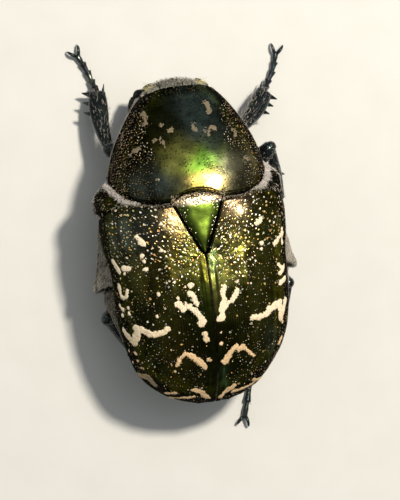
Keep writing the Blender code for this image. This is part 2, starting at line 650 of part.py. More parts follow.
def main():
    for old in list(bpy.data.objects):
        bpy.data.objects.remove(old)
    fuse(prothorax("prothorax"), coxa_lumps("front"))
    knob = ellipsoid("knob", *STERNAL_KNOB, "black")
    fuse(pterothorax("pterothorax"), coxa_lumps("middle") + coxa_lumps("hind") + [knob])
    abdomen("abdomen")
    pygidium()
    scutellum()
    elytron("elytron_left", 1)
    elytron("elytron_right", -1)
    body_cutters = [prothorax("prothorax_cutter", GAP), pterothorax("pterothorax_cutter", GAP),
                    elytra_block(GAP)]
    for word, side in (("left", 1), ("right", -1)):
        mesepimeron("mesepimeron_" + word, side, body_cutters)
        ellipsoid("eye_" + word, (side * EYE_CENTRE[0], *EYE_CENTRE[1:]), EYE_RADII, "eye")
        antenna("antenna_" + word, side)
    leg_cutters = body_cutters + [abdomen("abdomen_cutter", GAP)]
    for pair in COXAE:
        leg_cutters += coxa_lumps(pair, GAP)
    head(leg_cutters)
    for name in LEGS:
        leg(name, leg_cutters)
    for cutter in leg_cutters:
        bpy.data.objects.remove(cutter)
    stand_on_floor_centre()


main()
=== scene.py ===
"""A copper chafer at life size, standing with its head bent down, dressed over its solid model.

Shapes are worked out in millimetres as (x, s, z). The station s runs along the body from the middle
of the pronotum's front edge back to the tips of the elytra, x is towards the beetle's left, and z is
the height over the floor. as_metres turns the forebody and moves them to where the solids stand.
"""

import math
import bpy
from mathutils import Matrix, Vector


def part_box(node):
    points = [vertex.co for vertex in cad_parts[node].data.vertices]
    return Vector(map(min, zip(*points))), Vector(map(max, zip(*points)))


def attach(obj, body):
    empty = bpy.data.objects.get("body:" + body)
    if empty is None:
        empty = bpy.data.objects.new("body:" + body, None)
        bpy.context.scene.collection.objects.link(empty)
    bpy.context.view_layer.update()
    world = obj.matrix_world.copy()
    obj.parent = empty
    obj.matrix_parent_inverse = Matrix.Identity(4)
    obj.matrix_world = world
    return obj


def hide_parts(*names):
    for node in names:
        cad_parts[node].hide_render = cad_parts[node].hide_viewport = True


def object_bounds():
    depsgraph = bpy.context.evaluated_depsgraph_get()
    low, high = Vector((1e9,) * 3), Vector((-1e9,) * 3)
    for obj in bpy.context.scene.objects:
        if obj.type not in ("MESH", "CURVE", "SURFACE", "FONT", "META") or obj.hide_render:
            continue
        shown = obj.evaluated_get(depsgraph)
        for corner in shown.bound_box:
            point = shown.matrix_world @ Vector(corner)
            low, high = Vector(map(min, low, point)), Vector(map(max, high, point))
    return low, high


bl_info = {
    "name": "Copper Chafer",
    "version": (1, 0, 0),
    "blender": (4, 5, 0),
    "location": "3D View > Sidebar > Chafer",
    "description": "Builds the plates, marks, hair and stage of a life-size copper chafer",
    "category": "Add Mesh",
}

import bpy
import numpy as np
from mathutils import Matrix, Vector

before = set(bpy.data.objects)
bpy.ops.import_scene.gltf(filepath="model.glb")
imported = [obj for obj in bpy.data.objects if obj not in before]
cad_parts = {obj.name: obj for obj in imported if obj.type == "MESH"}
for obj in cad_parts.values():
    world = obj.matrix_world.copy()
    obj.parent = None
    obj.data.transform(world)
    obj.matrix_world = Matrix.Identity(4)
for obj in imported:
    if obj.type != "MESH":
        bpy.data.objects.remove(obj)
CAD_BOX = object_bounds()

MM = 0.001
DOWN = np.array((0, 0, -1.0))
# The beetle's sides, each with its sign on x
SIDES = (("left", 1), ("right", -1))
# Too far from a puncture or a mark to matter
FAR = 9.0
# How far to the side the puncture patterns start, off the body
PATTERN_SHIFT = 40

# As in the solids: how the back and the underside curve across, how the forebody turns from the waist,
# and the wing cases' thickness and their gap to the trunk
TOP_POWER = 2.35
UNDER_POWER = 2.1
FOREBODY_TURN = 0.048
WAIST = 6.6
WAIST_EASE = 0.8
SHELL = 0.5
GAP = 0.3

# Half widths, crest heights and side edge heights along the body, as (station, size). The pronotum's
# and the elytra's front and hind edges are (share of the half width, station).
PRONOTUM_SIDE = ((0, 1.75), (0.8, 2.5), (2, 3.32), (3.5, 4.05), (5, 4.38), (6.6, 4.35))
PRONOTUM_HALF = max(half for _, half in PRONOTUM_SIDE)
PRONOTUM_CREST = ((0, 5.4), (1.2, 6.35), (2.6, 7.2), (3.4, 7.535), (4.2, 7.785), (4.8, 7.925),
                  (5.4, 8.035), (6.0, 8.115), (6.6, 8.175))
PRONOTUM_EDGE = ((0, 4.2), (3, 4.55), (6.6, 5.1))
# The prosternum's front and hind edge, at the sides and in the middle
PROSTERNUM_FRONT = (0.3, 2.0)
PROSTERNUM_REAR = (5.0, 5.3)
PROSTERNUM_KEEL = ((0, 3.5), (2, 3.2), (3.5, 2.85), (5.6, 2.7))
PRONOTUM_FRONT = ((0, 0), (0.6, 0.05), (1, 0.3))
PRONOTUM_BASE = ((0, 6.05), (0.15, 6.15), (0.34, 6.5), (0.55, 6.45), (0.8, 6.1), (0.93, 5.6), (1, 5.0))
ELYTRA_SIDE = ((6.2, 5.05), (7.2, 5.22), (8.5, 5.15), (10, 4.9), (12, 4.87), (13.5, 4.68),
               (15, 4.24), (16.1, 3.56), (16.9, 2.72), (17.4, 1.8), (17.7, 0.85))
ELYTRA_LEAN = 0.17
ELYTRA_CREST = ((6.2, 8.16), (7.2, 8.27), (8.2, 8.35), (9, 8.39), (10, 8.41), (11, 8.4), (13, 8.15),
                (14.5, 7.65), (15.8, 6.95), (16.8, 6.1), (17.35, 5.4), (17.6, 4.95), (17.7, 4.6))
ELYTRA_EDGE = ((6.2, 5.1), (8, 5.2), (10, 5.5), (12, 5.15), (14, 4.8), (16, 4.6), (17.7, 4.45))
ELYTRA_FRONT = ((0, 6.4), (0.3, 6.5), (0.47, 6.5), (0.6, 6.38), (0.7, 6.3), (0.85, 6.28), (0.95, 6.4),
                (1, 6.62))
ELYTRA_END = 17.7
SCUTELLUM_SIDE = ((6.0, 1.5), (6.4, 1.42), (7.2, 1.12), (8.2, 0.68), (9.0, 0.33), (9.35, 0.17), (9.5, 0.05))
TRUNK_SIDE = ((6.0, 4.3), (7, 5.05), (8.5, 5.32), (9.8, 5.58), (10.75, 5.79), (11.0, 5.3), (12.2, 5.1),
              (13.2, 4.76), (14.5, 4.3), (15.5, 3.7), (16.3, 3.0), (16.9, 2.5))
TRUNK_SIDE_HEIGHT = ((6, 4.2), (9, 4.2), (10.8, 4.0), (12, 4.25), (15, 4.0), (16.9, 3.9))
TRUNK_KEEL = ((6.0, 2.3), (7.5, 1.9), (9.8, 1.8), (11.2, 1.95), (13, 2.1), (15, 2.5), (16.3, 2.9),
              (16.9, 3.2))
THORAX_REAR = 10.9
VENTRITES = (11.2, 12.3, 13.3, 14.3, 15.3, 16.4)
PYGIDIUM_ROOT = 16.7
PYGIDIUM_HALF = (2.45, 1.25)
PYGIDIUM_BULGE = 0.75
PYGIDIUM_HEIGHT = 3.72
# Coxae, knobs and membranes as (middle, half sizes)
COXAE = {
    "front": ((1.15, 3.9, 2.7), (0.8, 0.75, 0.65)),
    "middle": ((1.75, 7.3, 2.1), (0.95, 0.6, 0.5)),
    "hind": ((2.2, 10.2, 2.1), (1.6, 0.55, 0.45)),
}
COXA_FACE = ((4.75, 11.3, 3.75), (0.55, 0.95, 0.5))
STERNAL_KNOB = ((0, 6.45, 2.1), (0.7, 0.6, 0.45))
# The plate between pronotum and elytron: its middle, its stations, the share of its width where it
# bends down, the angle where its roof starts, the height of the bend, and how far its side goes in and down
SIDE_PLATE_MIDDLE = (4.2, 5.9, 4.6)
SIDE_PLATE_SPAN = (4.45, 7.0)
SIDE_PLATE_BEND = 0.65
SIDE_PLATE_START = 0.55
SIDE_PLATE_LEVEL = 4.6
SIDE_PLATE_FOOT = (3.9, 1.65)
SCUTELLUM_SPAN = (5.9, 9.42)
SCUTELLUM_HEIGHT = 8.05
# The neck, and the skin that closes the prothorax's front opening and the joint behind it
NECK = ((0, 1.1, 4.3), (1.78, 1.05, 1.0))
FRONT_MEMBRANE = ((0, 2.0, 4.2), (2.6, 1.4, 0.95))
WAIST_MEMBRANE = ((0, 5.65, 4.45), (4.15, 0.8, 1.6))
# The head from its neck down, as (station, height), and its half widths and thicknesses on the way
HEAD_LINE = ((0.95, 4.15), (0.5, 3.6), (0.1, 2.95), (-0.1, 2.3), (-0.2, 1.75), (-0.25, 1.25))
HEAD_HALVES = ((1.35, 0.8), (1.6, 0.85), (1.5, 0.72), (1.22, 0.55), (1.22, 0.42), (1.15, 0.27))
CLYPEUS_RIM = ((1.2, -0.25, 2.2), (1.22, -0.38, 1.75), (1.15, -0.45, 1.3), (0.6, -0.46, 1.12),
               (0, -0.46, 1.22), (-0.6, -0.46, 1.12), (-1.15, -0.45, 1.3), (-1.22, -0.38, 1.75),
               (-1.2, -0.25, 2.2))
EYE = ((1.52, 0.28, 3.2), (0.4, 0.42, 0.52))
PALP_LINE = ((0.55, 0.25, 1.9), (0.75, 0.7, 1.6), (0.7, 1.15, 1.45))
JAW_LINE = ((0.95, 0.0, 1.9), (0.85, 0.2, 1.5), (0.5, 0.15, 1.25))
BROW_LINE = ((1.3, -0.42, 3.35), (1.6, -0.3, 3.1), (1.78, 0.0, 2.9))
ANTENNA_LINE = ((1.3, -0.12, 2.5), (2.02, -0.02, 2.26), (2.35, 0.38, 2.12), (2.42, 0.9, 2.05))
LEAF_LINE = ((2.37, 0.72, 2.08), (2.48, 1.22, 2.03), (2.62, 1.7, 1.98), (2.77, 2.15, 1.94))
# Legs: where each femur leaves its coxa, the knee, the ankle, and the tarsus to its claw joint
LEGS = {
    "front_left": ((1.2, 3.9, 1.75), (3.95, 2.85, 2.6), (4.1, -0.5, 0.95),
                   ((4.2, -1.05, 0.4), (4.5, -1.95, 0.25), (4.95, -2.8, 0.25))),
    "front_right": ((-1.2, 3.9, 1.75), (-3.6, 2.8, 2.8), (-5.7, 0.6, 0.95),
                    ((-6.0, 0.1, 0.4), (-6.45, -0.7, 0.25), (-6.7, -1.6, 0.25))),
    "middle_left": ((1.5, 7.3, 1.2), (4.75, 9.2, 2.3), (4.0, 11.8, 0.9),
                    ((3.7, 12.3, 0.4), (2.95, 13.05, 0.25), (1.85, 13.6, 0.25))),
    "middle_right": ((-1.7, 6.8, 1.25), (-5.4, 3.9, 2.75), (-5.85, 6.8, 0.95),
                     ((-5.6, 7.45, 0.4), (-5.65, 8.35, 0.25), (-5.5, 9.25, 0.25), (-5.2, 10.05, 0.25))),
    "hind_left": ((1.5, 10.4, 1.15), (5.15, 12.45, 2.4), (2.7, 15.1, 0.9),
                  ((2.6, 15.75, 0.45), (2.0, 16.5, 0.25), (0.9, 16.95, 0.25), (-0.4, 17.0, 0.25))),
    "hind_right": ((-1.5, 10.4, 1.15), (-5.55, 11.75, 2.4), (-4.25, 15.1, 0.9),
                   ((-4.1, 15.6, 0.45), (-3.55, 16.35, 0.28), (-2.95, 17.2, 0.25), (-2.65, 18.2, 0.25),
                    (-2.35, 19.1, 0.25))),
}
FEMUR_HALVES = ((0.42, 0.36), (0.62, 0.42), (0.68, 0.42), (0.58, 0.38), (0.4, 0.32))
TIBIA_HALVES = {
    "front": ((0.28, 0.26), (0.4, 0.25), (0.5, 0.25), (0.57, 0.25), (0.5, 0.22)),
    "middle": ((0.24, 0.24), (0.29, 0.26), (0.36, 0.28), (0.42, 0.32), (0.46, 0.34)),
    "hind": ((0.24, 0.24), (0.3, 0.26), (0.38, 0.28), (0.46, 0.32), (0.52, 0.36)),
}
TIBIA_TEETH = {"front": (0.62, 0.8, 0.97), "middle": (0.55,), "hind": (0.6,)}
# The femur starts over its coxa's joint, and bows down between its ends
COXA_RISE = np.array((0, 0, 0.15))
FEMUR_BOW = np.array((0, 0, -0.12))

# Where the suture's ridge starts, and the low ribs: distance from the inner edge, half width, height,
# and where each rises and fades
SUTURE_START = (9.4, 11.5)
ELYTRA_RIBS = ((2.1, 0.28, 0.06, (8.5, 11.0), (15.0, 16.5)), (3.5, 0.3, 0.05, (9.5, 12.0), (15.5, 16.5)))
# The comb of fine grooves on the disc
COMB_SPACING = 0.13
COMB_DEPTH = 0.024
# Where the elytra's large punctures crowd: strength, middle and reach, out from the inner edge and back
ELYTRA_CROWDS = ((1.1, (1.5, 8.7), (1.6, 2.4)), (0.5, (4.0, 8.2), (1.2, 1.6)))
# Punctures of each plate: their spacing and radius
ELYTRA_FINE_PITS = (0.16, 0.036)
PRONOTUM_PITS = (0.122, 0.03)
PRONOTUM_FINE_PITS = (0.2, 0.032)
HEAD_PITS = (0.125, 0.046)
SCUTELLUM_PITS = (0.12, 0.042)
SIDE_PLATE_PITS = (0.15, 0.045)
TAIL_PITS = (0.14, 0.05)

# How many hairs each coat has, on one side or one limb where it has two, and how long they are where
# the user's sizes don't say
HAIR_COUNT = {"side": 1500, "breast": 9000, "thorax": 13000, "belly": 9000, "hip": 900, "scutellum": 700,
              "shoulder": 350, "rim": 3000, "head": 2200, "collar": 700, "brow": 60, "femur": 260,
              "tibia": 330}
HAIR_LENGTH = {"scutellum": 0.16, "shoulder": 0.16, "rim": 0.3, "head": 0.26, "collar": 0.34, "brow": 0.55,
               "leg": 0.26}
# The bake map: a tuft's half width on it, and the part of the map that a coat takes up
TUFT_HALF = 0.0012
MAP_SHARE = 0.9
MAP_EDGE = 0.05

# The stage: the floor's width in metres, the point in millimetres that lights and view aim at,
# and each light's way, its distance and width in metres, its power in watts and its colour
FLOOR_SIZE = 0.9
AIM = (0.0, 8.9, 5.0)
LIGHTS = {
    "key": ((-0.3, -0.285, 0.91), 0.14, 0.016, 0.23, "#FFF4E2"),
    "canopy_near": ((-0.24, -0.3, 0.93), 0.21, 0.1, 0.02, "#FFFAF0"),
    "canopy_mid": ((-0.2, -0.3, 0.93), 0.22, 0.2, 0.035, "#F8FAFF"),
    "canopy_wide": ((-0.15, -0.3, 0.93), 0.23, 0.34, 0.06, "#EEF4FF"),
    "fill": ((0.85, -0.15, 0.5), 0.2, 0.16, 0.05, "#F4F4EA"),
}
ROOM_LIGHT = 0.17
# The camera leans over the beetle's left side and a little to its rear, and turns its view, in degrees.
# Its focal length, its distance and the shift of its aim are in millimetres.
CAMERA_LEAN = 9.6
CAMERA_PITCH = 0.5
CAMERA_TURN = 7.7
FOCAL_LENGTH = 154.7
CAMERA_DISTANCE = 120
AIM_SHIFT = (0.296, -0.307)

# Cream marks of scale-like hairs: strokes through (x, s) points with their width, of which a share is
# drawn, as the ragged edge adds to it
STROKE_SHARE = 0.96
LEFT_MARKS = (
    (((3.53, 8.14), (3.29, 8.54)), 0.3), (((3.43, 9.18),), 0.25), (((3.36, 9.49),), 0.19),
    (((3.32, 9.92),), 0.25), (((2.86, 11.35),), 0.22), (((2.42, 9.0),), 0.17), (((2.23, 7.58),), 0.17),
    (((4.85, 9.26), (4.76, 9.5), (4.64, 9.84)), 0.3), (((4.43, 9.73), (4.16, 9.74)), 0.28),
    (((4.4, 10.01),), 0.2), (((4.72, 10.66), (4.69, 11.12), (4.58, 11.28)), 0.3),
    (((4.58, 11.28), (4.47, 11.29), (4.37, 10.95)), 0.26), (((4.77, 11.71), (4.63, 11.96)), 0.2),
    (((4.42, 11.89),), 0.22), (((4.41, 12.17),), 0.22), (((4.7, 12.24),), 0.26),
    (((3.03, 12.55),), 0.13), (((4.68, 13.11), (4.52, 13.5), (4.32, 13.76)), 0.46),
    (((4.27, 13.74), (4.12, 13.4), (4.12, 13.08)), 0.52),
    (((4.17, 13.13), (3.84, 13.17), (3.57, 13.34)), 0.42),
    (((3.57, 13.34), (3.28, 13.48), (2.98, 13.51), (2.67, 13.37), (2.53, 13.3)), 0.34),
    (((1.05, 11.1),), 0.34), (((1.22, 11.51), (1.02, 11.73), (0.88, 12.16)), 0.28),
    (((1.87, 12.02), (1.59, 12.33)), 0.37),
    (((1.43, 12.17), (1.01, 12.5), (0.78, 12.9), (0.6, 13.2)), 0.33), (((0.68, 13.23),), 0.48),
    (((0.59, 13.83), (0.5, 14.18)), 0.26), (((1.83, 11.7),), 0.17),
    (((2.21, 15.28), (2.02, 14.94), (1.75, 14.79), (1.44, 14.92)), 0.28),
    (((1.44, 14.92), (1.04, 15.26), (0.69, 15.64)), 0.36), (((0.45, 15.28),), 0.24),
    (((2.3, 15.6),), 0.24), (((4.49, 14.26),), 0.15), (((4.24, 14.42),), 0.19), (((4.34, 14.9),), 0.22),
    (((4.15, 14.86),), 0.18), (((3.99, 15.27),), 0.22), (((3.9, 15.32),), 0.17),
    (((4.05, 15.66), (3.66, 15.8), (3.36, 16.3)), 0.46), (((2.76, 16.86), (2.34, 16.9)), 0.26),
    (((2.46, 17.14), (1.87, 17.25), (1.29, 17.28)), 0.28),
    (((1.23, 16.89), (0.85, 17.09), (0.49, 17.44)), 0.36),
)
RIGHT_MARKS = (
    (((-3.08, 8.23), (-3.37, 7.98)), 0.3), (((-3.21, 9.33),), 0.26), (((-3.18, 9.6),), 0.19),
    (((-1.52, 11.25),), 0.2), (((-3.98, 9.49), (-4.3, 9.18), (-4.6, 8.95)), 0.3),
    (((-4.58, 8.7), (-4.55, 9.49)), 0.24), (((-4.14, 11.12), (-4.47, 10.79)), 0.3),
    (((-4.13, 10.66), (-4.38, 10.96)), 0.28), (((-4.07, 11.62), (-4.48, 11.39)), 0.28),
    (((-2.15, 13.3), (-2.45, 13.3), (-2.8, 13.3), (-3.13, 13.12), (-3.54, 12.84),
      (-3.95, 12.67)), 0.33), (((-3.2, 13.0), (-3.54, 12.84), (-3.95, 12.7)), 0.42),
    (((-3.88, 12.75), (-3.96, 13.14), (-3.94, 13.51)), 0.5),
    (((-4.0, 13.4), (-4.16, 13.08), (-4.3, 12.65)), 0.42),
    (((-0.73, 11.42), (-0.63, 11.86), (-0.69, 12.14)), 0.28),
    (((-0.69, 12.14), (-0.5, 12.57), (-0.45, 12.83)), 0.32), (((-0.38, 13.09),), 0.46),
    (((-1.45, 11.74), (-1.31, 12.04), (-1.1, 12.24)), 0.28), (((-0.91, 12.31), (-0.65, 12.55)), 0.25),
    (((-0.3, 13.84),), 0.13), (((-0.28, 14.46),), 0.2),
    (((-0.44, 15.56), (-0.73, 15.14), (-1.13, 14.78)), 0.34),
    (((-1.13, 14.82), (-1.27, 15.03), (-1.51, 14.83)), 0.25), (((-1.51, 14.83), (-2.04, 15.37)), 0.28),
    (((-0.3, 15.45),), 0.2), (((-2.06, 15.64),), 0.22), (((-4.05, 13.8),), 0.18),
    (((-3.75, 14.92), (-3.94, 14.66)), 0.26), (((-3.55, 16.1), (-4.0, 15.5)), 0.28),
    (((-2.17, 16.78), (-3.04, 16.74)), 0.24), (((-0.98, 17.32), (-2.12, 17.02)), 0.3),
    (((-0.27, 17.45), (-0.58, 17.2), (-1.0, 16.98)), 0.36), (((-1.23, 16.89),), 0.17),
)
PRONOTUM_MARKS = (
    (((2.25, 1.3), (2.27, 1.98)), 0.26), (((1.47, 2.14),), 0.2), (((1.0, 2.58),), 0.28),
    (((1.96, 3.03), (1.69, 2.99), (1.5, 3.26)), 0.2),
    (((3.26, 3.58), (3.02, 3.38), (2.83, 3.38)), 0.28), (((3.35, 2.13), (3.55, 2.71)), 0.2),
    (((-0.27, 2.39), (-0.27, 2.72)), 0.17), (((-0.89, 2.8), (-1.44, 2.7)), 0.24),
    (((-1.04, 3.06),), 0.24), (((-1.28, 1.08), (-1.35, 1.52), (-1.39, 1.73)), 0.3),
    (((-2.58, 2.89), (-2.63, 3.23)), 0.25), (((-3.06, 4.61), (-3.27, 4.78)), 0.16),
    (((2.01, 5.18),), 0.16), (((3.14, 1.85),), 0.14),
)

# Where the metal colour changes: colour, middle (x, s), reach across and along, and strength
# On the pronotum the gold zone is a painted highlight where the key light's mirror point falls, the pale
# olive zone left of it is a painted glow and the greyish zone right of it is a painted sheen. The leaf green
# round them is partly the metal's own green and partly painted glow.
PRONOTUM_ZONES = (
    ("bronze", (0.2, 4.6), (2.6, 1.7), 0.75), ("slate", (-0.5, 1.6), (1.0, 1.6), 0.85),
    ("slate", (-1.5, 3.0), (0.8, 0.8), 0.45), ("pale_olive_and_painted_glow", (1.1, 4.1), (0.9, 0.85), 0.75),
    ("leaf", (-1.0, 4.55), (1.1, 0.75), 0.95), ("gold", (-1.0, 5.6), (1.1, 0.5), 0.9),
    ("painted_sheen_fawn", (-2.4, 5.0), (1.0, 1.0), 0.9), ("slate", (2.5, 5.3), (1.2, 0.8), 0.7),
)
# On the elytra the brass zones are a painted highlight on each base where the key light's mirror point falls.
# The olive zones are partly the metal's own olive and partly painted glow, and the small black zones beside
# the scutellum's tip are painted shade that damps the lamp's glow.
LEFT_ZONES = (
    ("bronze", (1.0, 9.5), (2.2, 2.6), 0.8), ("painted_highlight_brass", (1.6, 7.5), (1.1, 1.0), 0.4),
    ("slate", (3.9, 7.9), (1.1, 1.1), 0.3), ("olive", (0.9, 9.9), (0.8, 1.4), 0.6),
    ("olive", (2.3, 13.0), (0.8, 2.2), 0.8), ("moss", (0.8, 12.4), (0.7, 1.4), 0.5),
    ("bronze", (1.8, 14.5), (0.8, 1.6), 0.5), ("black", (0.75, 8.7), (0.5, 0.9), 0.7),
)
# On the right elytron the slate at the rear of its side and the teal at the suture's end are painted sheens.
# The teal beside the scutellum's tip is the ridge's own colour.
RIGHT_ZONES = (
    ("bronze", (-1.4, 9.4), (2.4, 3.2), 0.85), ("painted_highlight_brass", (-2.1, 7.3), (1.0, 0.9), 0.9),
    ("olive", (-1.8, 9.2), (1.4, 1.6), 0.35), ("olive", (-3.6, 9.0), (1.0, 2.2), 0.9),
    ("moss", (-0.5, 10.6), (0.4, 1.5), 0.4), ("pale_olive_and_painted_glow", (-0.8, 11.8), (0.9, 1.2), 0.55),
    ("olive", (-2.4, 12.8), (1.3, 2.2), 0.9), ("slate", (-3.4, 14.6), (0.6, 0.9), 0.25),
    ("teal", (-0.35, 16.4), (0.3, 0.7), 0.25), ("black", (-0.9, 9.1), (0.8, 1.3), 0.8),
    ("teal", (-0.3, 10.1), (0.22, 0.9), 0.2),
)


def hex_colour(text):
    """An sRGB hex colour as linear red, green, blue and alpha."""
    shares = [int(text[i:i + 2], 16) / 255 for i in (1, 3, 5)]
    return (*[c / 12.92 if c <= 0.04045 else ((c + 0.055) / 1.055) ** 2.4 for c in shares], 1.0)


def place_of_the_solids():
    """Where the design's origin lies in the frame, in millimetres, read from the wing cases."""
    _, (left, rear, _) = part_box("elytron_left")
    (right, _, _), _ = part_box("elytron_right")
    return np.array(((left + right) / 2 / MM, rear / MM - ELYTRA_END, CAD_BOX[0].z / MM))


ORIGIN = place_of_the_solids()


def as_metres(points):
    """Design points in millimetres as frame points in metres, with the forebody's turn."""
    points = np.array(points, float)
    ahead = np.clip(WAIST - points[..., 1], 0, None)
    points[..., 0] -= FOREBODY_TURN * ahead**2 / (ahead + WAIST_EASE)
    return (points + ORIGIN) * MM


def smooth(stations, s):
    """A monotone cubic through (station, value) pairs, level past their ends."""
    knots, values = np.array(stations, float).T
    step = np.diff(knots)
    slope = np.diff(values) / step
    tangent = np.zeros_like(values)
    tangent[0], tangent[-1] = slope[0], slope[-1]
    before, after = slope[:-1], slope[1:]
    same = before * after > 0
    tangent[1:-1][same] = 2 * before[same] * after[same] / (before + after)[same]
    s = np.clip(s, knots[0], knots[-1])
    i = np.clip(np.searchsorted(knots, s, side="right") - 1, 0, len(step) - 1)
    t = (s - knots[i]) / step[i]
    value = (1 + 2 * t) * (1 - t) ** 2 * values[i] + t * (1 - t) ** 2 * step[i] * tangent[i]
    return value + t * t * (3 - 2 * t) * values[i + 1] + t * t * (t - 1) * step[i] * tangent[i + 1]


def unit(vectors):
    """The vectors at length 1."""
    return vectors / np.linalg.norm(vectors, axis=-1, keepdims=True)


def ramp(value, low, high):
    """0 below low, 1 above high, eased between."""
    t = np.clip((value - low) / (high - low), 0, 1)
    return t * t * (3 - 2 * t)


def bump(x, y, middle, reach):
    """A round hill of height 1 over (x, y)."""
    return np.exp(-((x - middle[0]) / reach[0]) ** 2 - ((y - middle[1]) / reach[1]) ** 2)


def lattice_noise(x, y, size, seed):
    """Smooth noise from -1 to 1 over a plane, with hills about size across."""
    table = np.random.default_rng(seed).uniform(-1, 1, (64, 64))
    x, y = np.asarray(x) / size + 17.3, np.asarray(y) / size + 31.7
    i, j = np.floor(x).astype(int), np.floor(y).astype(int)
    u, v = x - i, y - j
    u, v = u * u * (3 - 2 * u), v * v * (3 - 2 * v)
    a, b = table[i % 64, j % 64], table[(i + 1) % 64, j % 64]
    c, d = table[i % 64, (j + 1) % 64], table[(i + 1) % 64, (j + 1) % 64]
    return (a * (1 - u) + b * u) * (1 - v) + (c * (1 - u) + d * u) * v


def hollow(pit, depth):
    """How deep a puncture's round floor lies, from the distance to its middle in radii."""
    return np.clip(1 - pit**2, 0, 1) ** 2 * depth


def luck(number):
    """A second random number from 0 to 1, from each puncture's first one."""
    return (number * 57.3) % 1


def blended(colour, other, share):
    """The colour with a share of the other mixed in at each point."""
    return colour * (1 - share[..., None]) + np.array(other) * share[..., None]


def pits(x, y, spacing, radius, seed, keep=1.0):
    """Scattered punctures on a plane: for each point its distance from the nearest one's middle, in
    radii, and that puncture's random number. keep is the share of places that have a puncture."""
    rng = np.random.default_rng(seed)
    count = 128
    shift = rng.uniform(-0.38, 0.38, (count, count, 2))
    size = rng.uniform(0.5, 1.3, (count, count))
    draw = rng.uniform(0, 1, (count, count))
    there = rng.uniform(0, 1, (count, count))
    row = np.floor(y / spacing)
    nearest = np.full(np.shape(x), FAR)
    number = np.zeros(np.shape(x))
    for dj in (-1, 0, 1):
        j = row + dj
        lean = 0.5 * (j % 2)
        column = np.floor(x / spacing - lean)
        for di in (-1, 0, 1):
            i = column + di
            at = (i.astype(int) % count, j.astype(int) % count)
            cx = (i + 0.5 + lean + shift[at][..., 0]) * spacing
            cy = (j + 0.5 + shift[at][..., 1]) * spacing
            away = np.hypot(x - cx, y - cy) / (radius * size[at])
            away = np.where(there[at] < keep, away, FAR)
            closer = away < nearest
            nearest = np.where(closer, away, nearest)
            number = np.where(closer, draw[at], number)
    return nearest, number


def stroke_distance(points, strokes, lift):
    """Distance in millimetres from each 3-D point to the nearest stroke's edge, negative inside it."""
    nearest = np.full(points.shape[:-1], FAR)
    for line, width in strokes:
        line = [np.array((x, s, lift(x, s))) for x, s in line]
        width = width * STROKE_SHARE
        for a, b in zip(line, line[1:] or line):
            span = b - a
            share = np.clip((points - a) @ span / max(span @ span, 1e-9), 0, 1)
            away = np.linalg.norm(points - a - share[..., None] * span, axis=-1) - width / 2
            nearest = np.minimum(nearest, away)
    return nearest


def dome(share, power):
    """Height share of a superellipse at a share of its half width."""
    return np.clip(1 - np.abs(share) ** power, 0, None) ** (1 / power)


def even_rows(stations, tables, rows):
    """Shares from 0 to 1 along the stations that are evenly spaced over the curves of the tables."""
    s = np.linspace(*stations, 600)
    steps = [np.diff(smooth(table, s)) for table in tables]
    length = np.r_[0, np.cumsum(np.sqrt(np.diff(s) ** 2 + sum(step**2 for step in steps)))]
    return np.interp(np.linspace(0, length[-1], rows), length, (s - s[0]) / (s[-1] - s[0]))


def even_columns(rows, columns):
    """Each row of points drawn again with evenly spaced points."""
    drawn = np.empty((len(rows), columns, 3))
    for k, row in enumerate(rows):
        length = np.r_[0, np.cumsum(np.linalg.norm(np.diff(row, axis=0), axis=1))]
        places = np.linspace(0, length[-1], columns)
        for axis in range(3):
            drawn[k, :, axis] = np.interp(places, length, row[:, axis])
    return drawn


def grid_normals(grid):
    """Unit normals of a grid of points, as along-rows x along-columns."""
    down = np.gradient(grid, axis=0)
    across = np.gradient(grid, axis=1)
    normal = np.cross(across, down)
    return normal / np.maximum(np.linalg.norm(normal, axis=-1, keepdims=True), 1e-9)


def run_across(grid):
    """How far along its row each point of a grid lies, in millimetres."""
    return np.cumsum(np.linalg.norm(np.diff(grid, axis=1, prepend=grid[:, :1]), axis=-1), axis=1)


def grid_faces(rows, columns, wrap=False):
    """Quads of a grid of points, joined round each row where it wraps."""
    i, j = np.meshgrid(np.arange(rows - 1), np.arange(columns if wrap else columns - 1), indexing="ij")
    this, below, k = i * columns, (i + 1) * columns, (j + 1) % columns
    return np.stack((this + j, this + k, below + k, below + j), axis=-1).reshape(-1, 4)


def closed_faces(rows, columns):
    """Faces of a closed form of rings, with a cap on its first and its last ring."""
    faces = grid_faces(rows, columns, wrap=True)[:, ::-1].tolist()
    faces.append(list(range(columns)))
    faces.append(list(range((rows - 1) * columns, rows * columns))[::-1])
    return faces


def add_skirt(grid, values, front, rear, first, last):
    """The grid with its four edges rolled over, bare of marks and glints. Each argument lists offsets in
    millimetres."""
    def grow(array, before, after, axis):
        head = [np.take(array, [0], axis=axis)] * before
        tail = [np.take(array, [-1], axis=axis)] * after
        return np.concatenate(head + [array] + tail, axis=axis)

    plain = {"mark": 1.0, "pit": FAR, "glint": 0.0}
    for axis, before, after in ((1, first, last), (0, front, rear)):
        grid = grow(grid, len(before), len(after), axis)
        values = {name: grow(value, len(before), len(after), axis) for name, value in values.items()}
        for name in plain.keys() & values.keys():
            edge = np.moveaxis(values[name], axis, 0)
            edge[:len(before)] = plain[name]
            edge[len(edge) - len(after):] = plain[name]
        edges = np.moveaxis(grid, axis, 0)
        for k, offset in enumerate(before):
            edges[len(before) - 1 - k] += offset
        for k, offset in enumerate(after):
            edges[len(edges) - len(after) + k] += offset
    return grid, values


def made_finish(name):
    """The finish of that name, which has to be there before any piece."""
    made = bpy.data.materials.get(name)
    if made is None:
        raise RuntimeError(f"The finish {name} isn't made yet. The finishes come first.")
    return made


